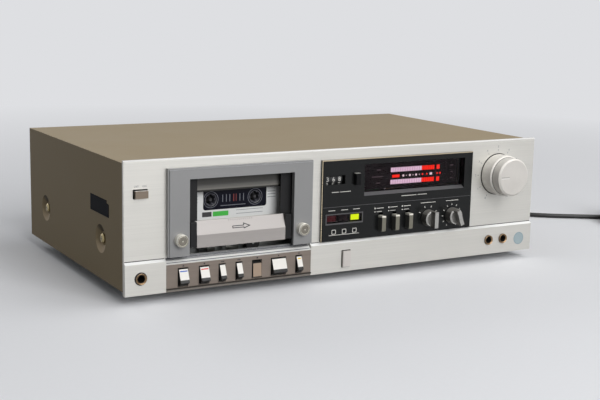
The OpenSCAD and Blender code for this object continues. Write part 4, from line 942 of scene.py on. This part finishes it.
# painted shade along the parting line of the knob's rear part
cut_sheet("knob_parting_shade", [[disc(*KNOB, 18.25, 64), disc(*KNOB, 17.6, 64)]], front_at(PARTING_Y), 0.04, gap_painted_shade,
          "level_knob_rear")
cut_sheet("level_ticks", [[spoke(*KNOB, angle, 22.6, 24.2, 0.45)] for angle in angles], on_fascia, 0.03, ink_grey)
around = [(str(k), *orbit(*KNOB, NUMBERS_R, 90 - angle), 2.1, on_fascia) for k, angle in enumerate(angles)]
numerals("level_numbers", around, 0.03, ink_grey)
for name, v, tone in (("pointer_shadow", 0.5, (178, 174, 168)), ("pointer_light", -0.5, (230, 228, 224))):
    look = finish(name, tone, 0.4, metal=0.4, shade=0.05, streak=(9, 400, 900))
    groove = oblong(KNOB[0] - 15, KNOB[0] - 5.5, KNOB[1] + v - 0.45, KNOB[1] + v + 0.45)
    cut_sheet(name, [[groove]], front_at(KNOB_Y), 0.02, look, "level_knob_front")
print("scale of", len(angles), "ticks")

# %% [markdown]
# ## Small trim
# A bare black plate on the left side, a round pale sticker, linings in the jacks, and painted shade: dark surrounds
# at the push buttons for their gaps, a dark line for the seam above the lower strip, and dark crosses for the
# recesses of the case screws. They are small, but an eye misses them at once.

# %% Side plate and sticker
SIDE_X, STICKER = -215, (199.8, 12.4)
PLATE = [(33.5, 59.5), (78, 59.5), (78, 73.6), (38.5, 73.6), (38.5, 71.2), (33.5, 70.6)]
plate_black = finish("plate_black", (17, 18, 23), 0.5, grain=1300, cloud=60, gloss=0.02)
sticker_blue = finish("sticker_blue", (160, 176, 181), 0.4, shade=0.06, cloud=120)
sticker_edge = finish("sticker_edge", (140, 158, 166), 0.4, shade=0.06)
cut_sheet("side_plate", [[PLATE]], lambda u, v, n: at(SIDE_X - n, u, v), 0.25, plate_black)
cut_sheet("round_sticker", [[disc(*STICKER, 6.2, 48)]], on_strip, 0.1, sticker_blue)
cut_sheet("sticker_ring", [[disc(*STICKER, r, 48) for r in (6, 5.3)]], on_strip, 0.13, sticker_edge)
print("plate and sticker placed")

# %% Button surrounds and seam
power = [oblong(-207, -194.3, 80.3, 88.2, 0.4), oblong(-205.95, -194.85, 80.85, 87.15, 0.3)]
mute = [oblong(-7.7, 1.7, 3.8, 19.7, 0.4), oblong(-7.05, 1.05, 4.45, 19.05, 0.3)]
# painted shade: dark surrounds for the gaps round the push buttons
cut_sheet("power_gap_shade", [power], on_fascia, 0.2, gap_painted_shade)
cut_sheet("mute_gap_shade", [mute], on_strip, 0.2, gap_painted_shade)
words = [(word, x, 90.4, 1.7, on_fascia) for word, x in (("OFF", -204), ("ON", -197))]
numerals("power_words", words, 0.03, ink_grey)
# painted shade: a dark line on the fascia for the seam above the lower strip
seams = [[oblong(x0, x1, 28.3, 28.95)] for x0, x1 in ((-214.7, -179.6), (-39, -31), (138, 214.7))]
cut_sheet("strip_seam_shade", seams, on_fascia, 0.03, dark_mould)
print("surrounds and seam placed")

# %% Jack linings
JACK_Z, JACK_R = 14, 4.7
LINING = [(JACK_R, 0.05), (JACK_R, -0.7), (JACK_R - 0.25, -0.95), (JACK_R - 0.5, -0.9), (3.7, -0.3), (3.3, -0.02),
          (3.3, 0.05)]


def joined(rings):
    """A bmesh of closed rings of points, each one joined to the next and the last to the first."""
    bm = bmesh.new()
    loops = [[bm.verts.new(p) for p in ring] for ring in rings]
    for one, other in zip(loops, loops[1:] + loops[:1]):
        for a, b, c, d in zip(one, one[1:] + one[:1], other[1:] + other[:1], other):
            bm.faces.new((a, b, c, d))
    return bm


def lathe(name, profile, centre, look, body="case", steps=40):
    """A ring turned about the front-to-back line through a centre. The profile is (radius, y) in millimetres."""
    bm = joined([[at(x, y, z) for x, z in disc(*centre, r, steps)] for r, y in profile])
    for face in bm.faces:
        face.smooth = True
    return placed(name, bm, look, body)


bronze = finish("jack_bronze", (140, 116, 88), 0.3, metal=0.8, shade=0.08, streak=LATHE)
for name, x, front in (("phones_lining", -201.1, -2.8), ("mic_lining_left", 161.5, -2.6),
                       ("mic_lining_right", 179.3, -2.6)):
    lathe(name, [(r, front + y) for r, y in LINING], (x, JACK_Z), bronze)
print("jacks lined")

# %% Screw recesses
HEAD_X, HEAD_Z, BACK_X, HEAD_Y = 214.4, 38, 201.8, 253.4  # where the screw heads end, at the sides and the back
CROSS = [(1.9, 0.4), (0.4, 0.4), (0.4, 1.9), (-0.4, 1.9), (-0.4, 0.4), (-1.9, 0.4), (-1.9, -0.4), (-0.4, -0.4),
         (-0.4, -1.9), (0.4, -1.9), (0.4, -0.4), (1.9, -0.4)]
# painted shade: a flat dark cross on each screw head for its recess
for hand, side in HANDS:
    for end, y in (("front", 54), ("rear", 205)):
        cut_sheet(f"screw_recess_{hand}_{end}", [[CROSS]], lambda u, v, n: at(side * (HEAD_X + n), y + u, HEAD_Z + v),
                  0.03, dark_mould)
for hand, side in HANDS:
    for z in (12, 100):
        cut_sheet(f"screw_recess_back_{hand}_{z}", [[CROSS]],
                  lambda u, v, n: at(side * BACK_X + u, HEAD_Y + n, z + v), 0.03, dark_mould)
print("screws cut")

# %% [markdown]
# The four line sockets at the back are nickel sleeves with a coloured core, red on one channel and white on the
# other. The core is a disc seated in the mouth of each sleeve.

# %% Line socket cores
SOCKETS_X, SOCKETS_Z, SOCKETS_APART, MOUTH_Y = -165, 60, 9, 260
for name, side, tone, shade in (("right", -1, (178, 44, 40), 0.06), ("left", 1, (222, 220, 212), 0.04)):
    look = finish("socket_red" if side < 0 else "socket_white", tone, 0.4, shade=shade, grain=1200)
    x = SOCKETS_X + side * SOCKETS_APART
    heights = [SOCKETS_Z + row * SOCKETS_APART for row in SIDES]
    cut_sheet("socket_cores_" + name, [[disc(x, z, 3.5, 32), disc(x, z, 1.7, 24)] for z in heights],
              lambda u, v, n: at(u, MOUTH_Y + n, v), 0.06, look)
print("socket cores placed")

# %% [markdown]
# A turned thumb screw has fine rings on its face. They are modelled as a shallow dish of rings, because real grooves
# break a highlight up from every side.

# %% Thumb screw faces
SCREW_X, SCREW_Z = 58, 44
grooves = [(0.5 + 0.32 * k, -10.04 + 0.02 * (k % 2)) for k in range(1, 12)]
for hand, side in HANDS:
    lathe("thumb_face_" + hand, [(0.3, -10)] + grooves + [(4.1, -9.85), (0.3, -9.85)],
          (DOOR_X + side * SCREW_X, SCREW_Z), turned, "door", 48)
print("thumb screws turned")

# %% [markdown]
# The coil of spare cord is held by a tie: a short band round the bundle. It is a flat loop swept round the bundle's
# cross-section.

# %% Cord tie
TIE_ANGLE, TIE_HALF, TIE_THICK, ON_TABLE = 320, 4, 0.7, 0.02
MID_R, MID_Z, HALF_R, HALF_Z = 27.5, 8, 6.1, 8  # the middle of the bundle's cross-section and its half sizes
hoop = oblong(21.4, 33.6, -0.05, 16.1, 2.5, 6)
loops = []
for turn, grow in ((-TIE_HALF, 0), (-TIE_HALF, TIE_THICK), (TIE_HALF, TIE_THICK), (TIE_HALF, 0)):
    grown = [(MID_R + (u - MID_R) * (1 + grow / HALF_R), MID_Z + (v - MID_Z) * (1 + grow / HALF_Z)) for u, v in hoop]
    loops.append([at(*orbit(COIL_X, COIL_Y, r, TIE_ANGLE + turn), max(ON_TABLE, z) - SHELF) for r, z in grown])
tie_plastic = finish("tie_plastic", (60, 60, 62), 0.45, shade=0.1)
cord_tie = placed("cord_tie", joined(loops), tie_plastic, "case")
print("coil tied")

# %% [markdown]
# ## Light and floor
# Plain soft studio light: an even grey world, one large soft lamp above and in front, and weaker ones overhead and
# at the back. Camera rays and reflections see a pale backdrop instead of the grey that lights the deck.

# %% Studio
BACKDROP = paint(222, 223, 226)


def seen_rays(tree):
    """1 for a ray that shows a surface to the eye, straight, in a reflection or through glass."""
    path = add(tree, "LightPath").outputs
    indirect = maths(tree, "MAXIMUM", path["Is Glossy Ray"], path["Is Transmission Ray"])
    return maths(tree, "MAXIMUM", path["Is Camera Ray"], indirect)


world = bpy.data.worlds.new("studio")
bpy.context.scene.world = world
world.use_nodes = True
tree = world.node_tree
tree.nodes.clear()
grey = add(tree, "Background", {"Color": (0.96, 0.98, 1, 1), "Strength": 0.13}).outputs[0]
pale = add(tree, "Background", {"Color": BACKDROP, "Strength": 1}).outputs[0]
sky = add(tree, "MixShader", {0: seen_rays(tree), 1: grey, 2: pale}).outputs[0]
tree.links.new(sky, add(tree, "OutputWorld").inputs["Surface"])
print("backdrop made")

# %% Lamps
AIM = Vector((0, 0, 0.05))
LAMPS = {"key_lamp": ((0.1, -2.3, 1.2), 1.8, 58), "top_lamp": ((0.9, -0.5, 1.7), 1.3, 11),
         "back_lamp": ((-0.5, 2, 1), 1.4, 11)}
for name, (place, size, watts) in LAMPS.items():
    lamp = bpy.data.lights.new(name, "AREA")
    lamp.shape, lamp.size, lamp.energy = "SQUARE", size, watts
    hung = linked(name, lamp)
    hung.location = place
    hung.rotation_euler = (AIM - Vector(place)).to_track_quat("-Z", "Y").to_euler()
print(len(LAMPS), "lamps hung")

# %% [markdown]
# The floor is pale paper. Its near part takes the shadow. Further off it fades into the same pale tone as the world,
# so that no horizon shows, and it sends only a little light back up, as a paper sweep under a dark studio does.

# %% Floor
FADE_FROM, FADE_TO = 0.4, 1.5
bm = bmesh.new()
bmesh.ops.create_grid(bm, x_segments=8, y_segments=8, size=14)
floor_mesh = bpy.data.meshes.new("studio_floor")
bm.to_mesh(floor_mesh)
bm.free()
floor = linked("studio_floor", floor_mesh)
floor.location.z = cad_box[0].z - 0.0002
paper_floor = finish("floor_paper", (232, 233, 236), 0.85, shade=0.012, grain=300, cloud=1.5)
tree = paper_floor.node_tree
shader = tree.nodes["Principled BSDF"]
base = shader.inputs["Base Color"]
seen = seen_rays(tree)
tree.links.new(tinted(tree, seen, paint(88, 88, 90), base.links[0].from_socket), base)
away = add(tree, "VectorMath", {0: add(tree, "TexCoord").outputs["Object"]}, operation="LENGTH").outputs["Value"]
fade = maths(tree, "MULTIPLY", seen, ranged(tree, away, FADE_FROM, FADE_TO))
far = add(tree, "Emission", {"Color": BACKDROP, "Strength": 1}).outputs[0]
mixed = add(tree, "MixShader", {0: fade, 1: shader.outputs[0], 2: far}).outputs[0]
tree.links.new(mixed, tree.nodes["Material Output"].inputs["Surface"])
floor_mesh.materials.append(paper_floor)
print("floor laid")

# %% Finish
bpy.context.scene.view_settings.view_transform = "Standard"
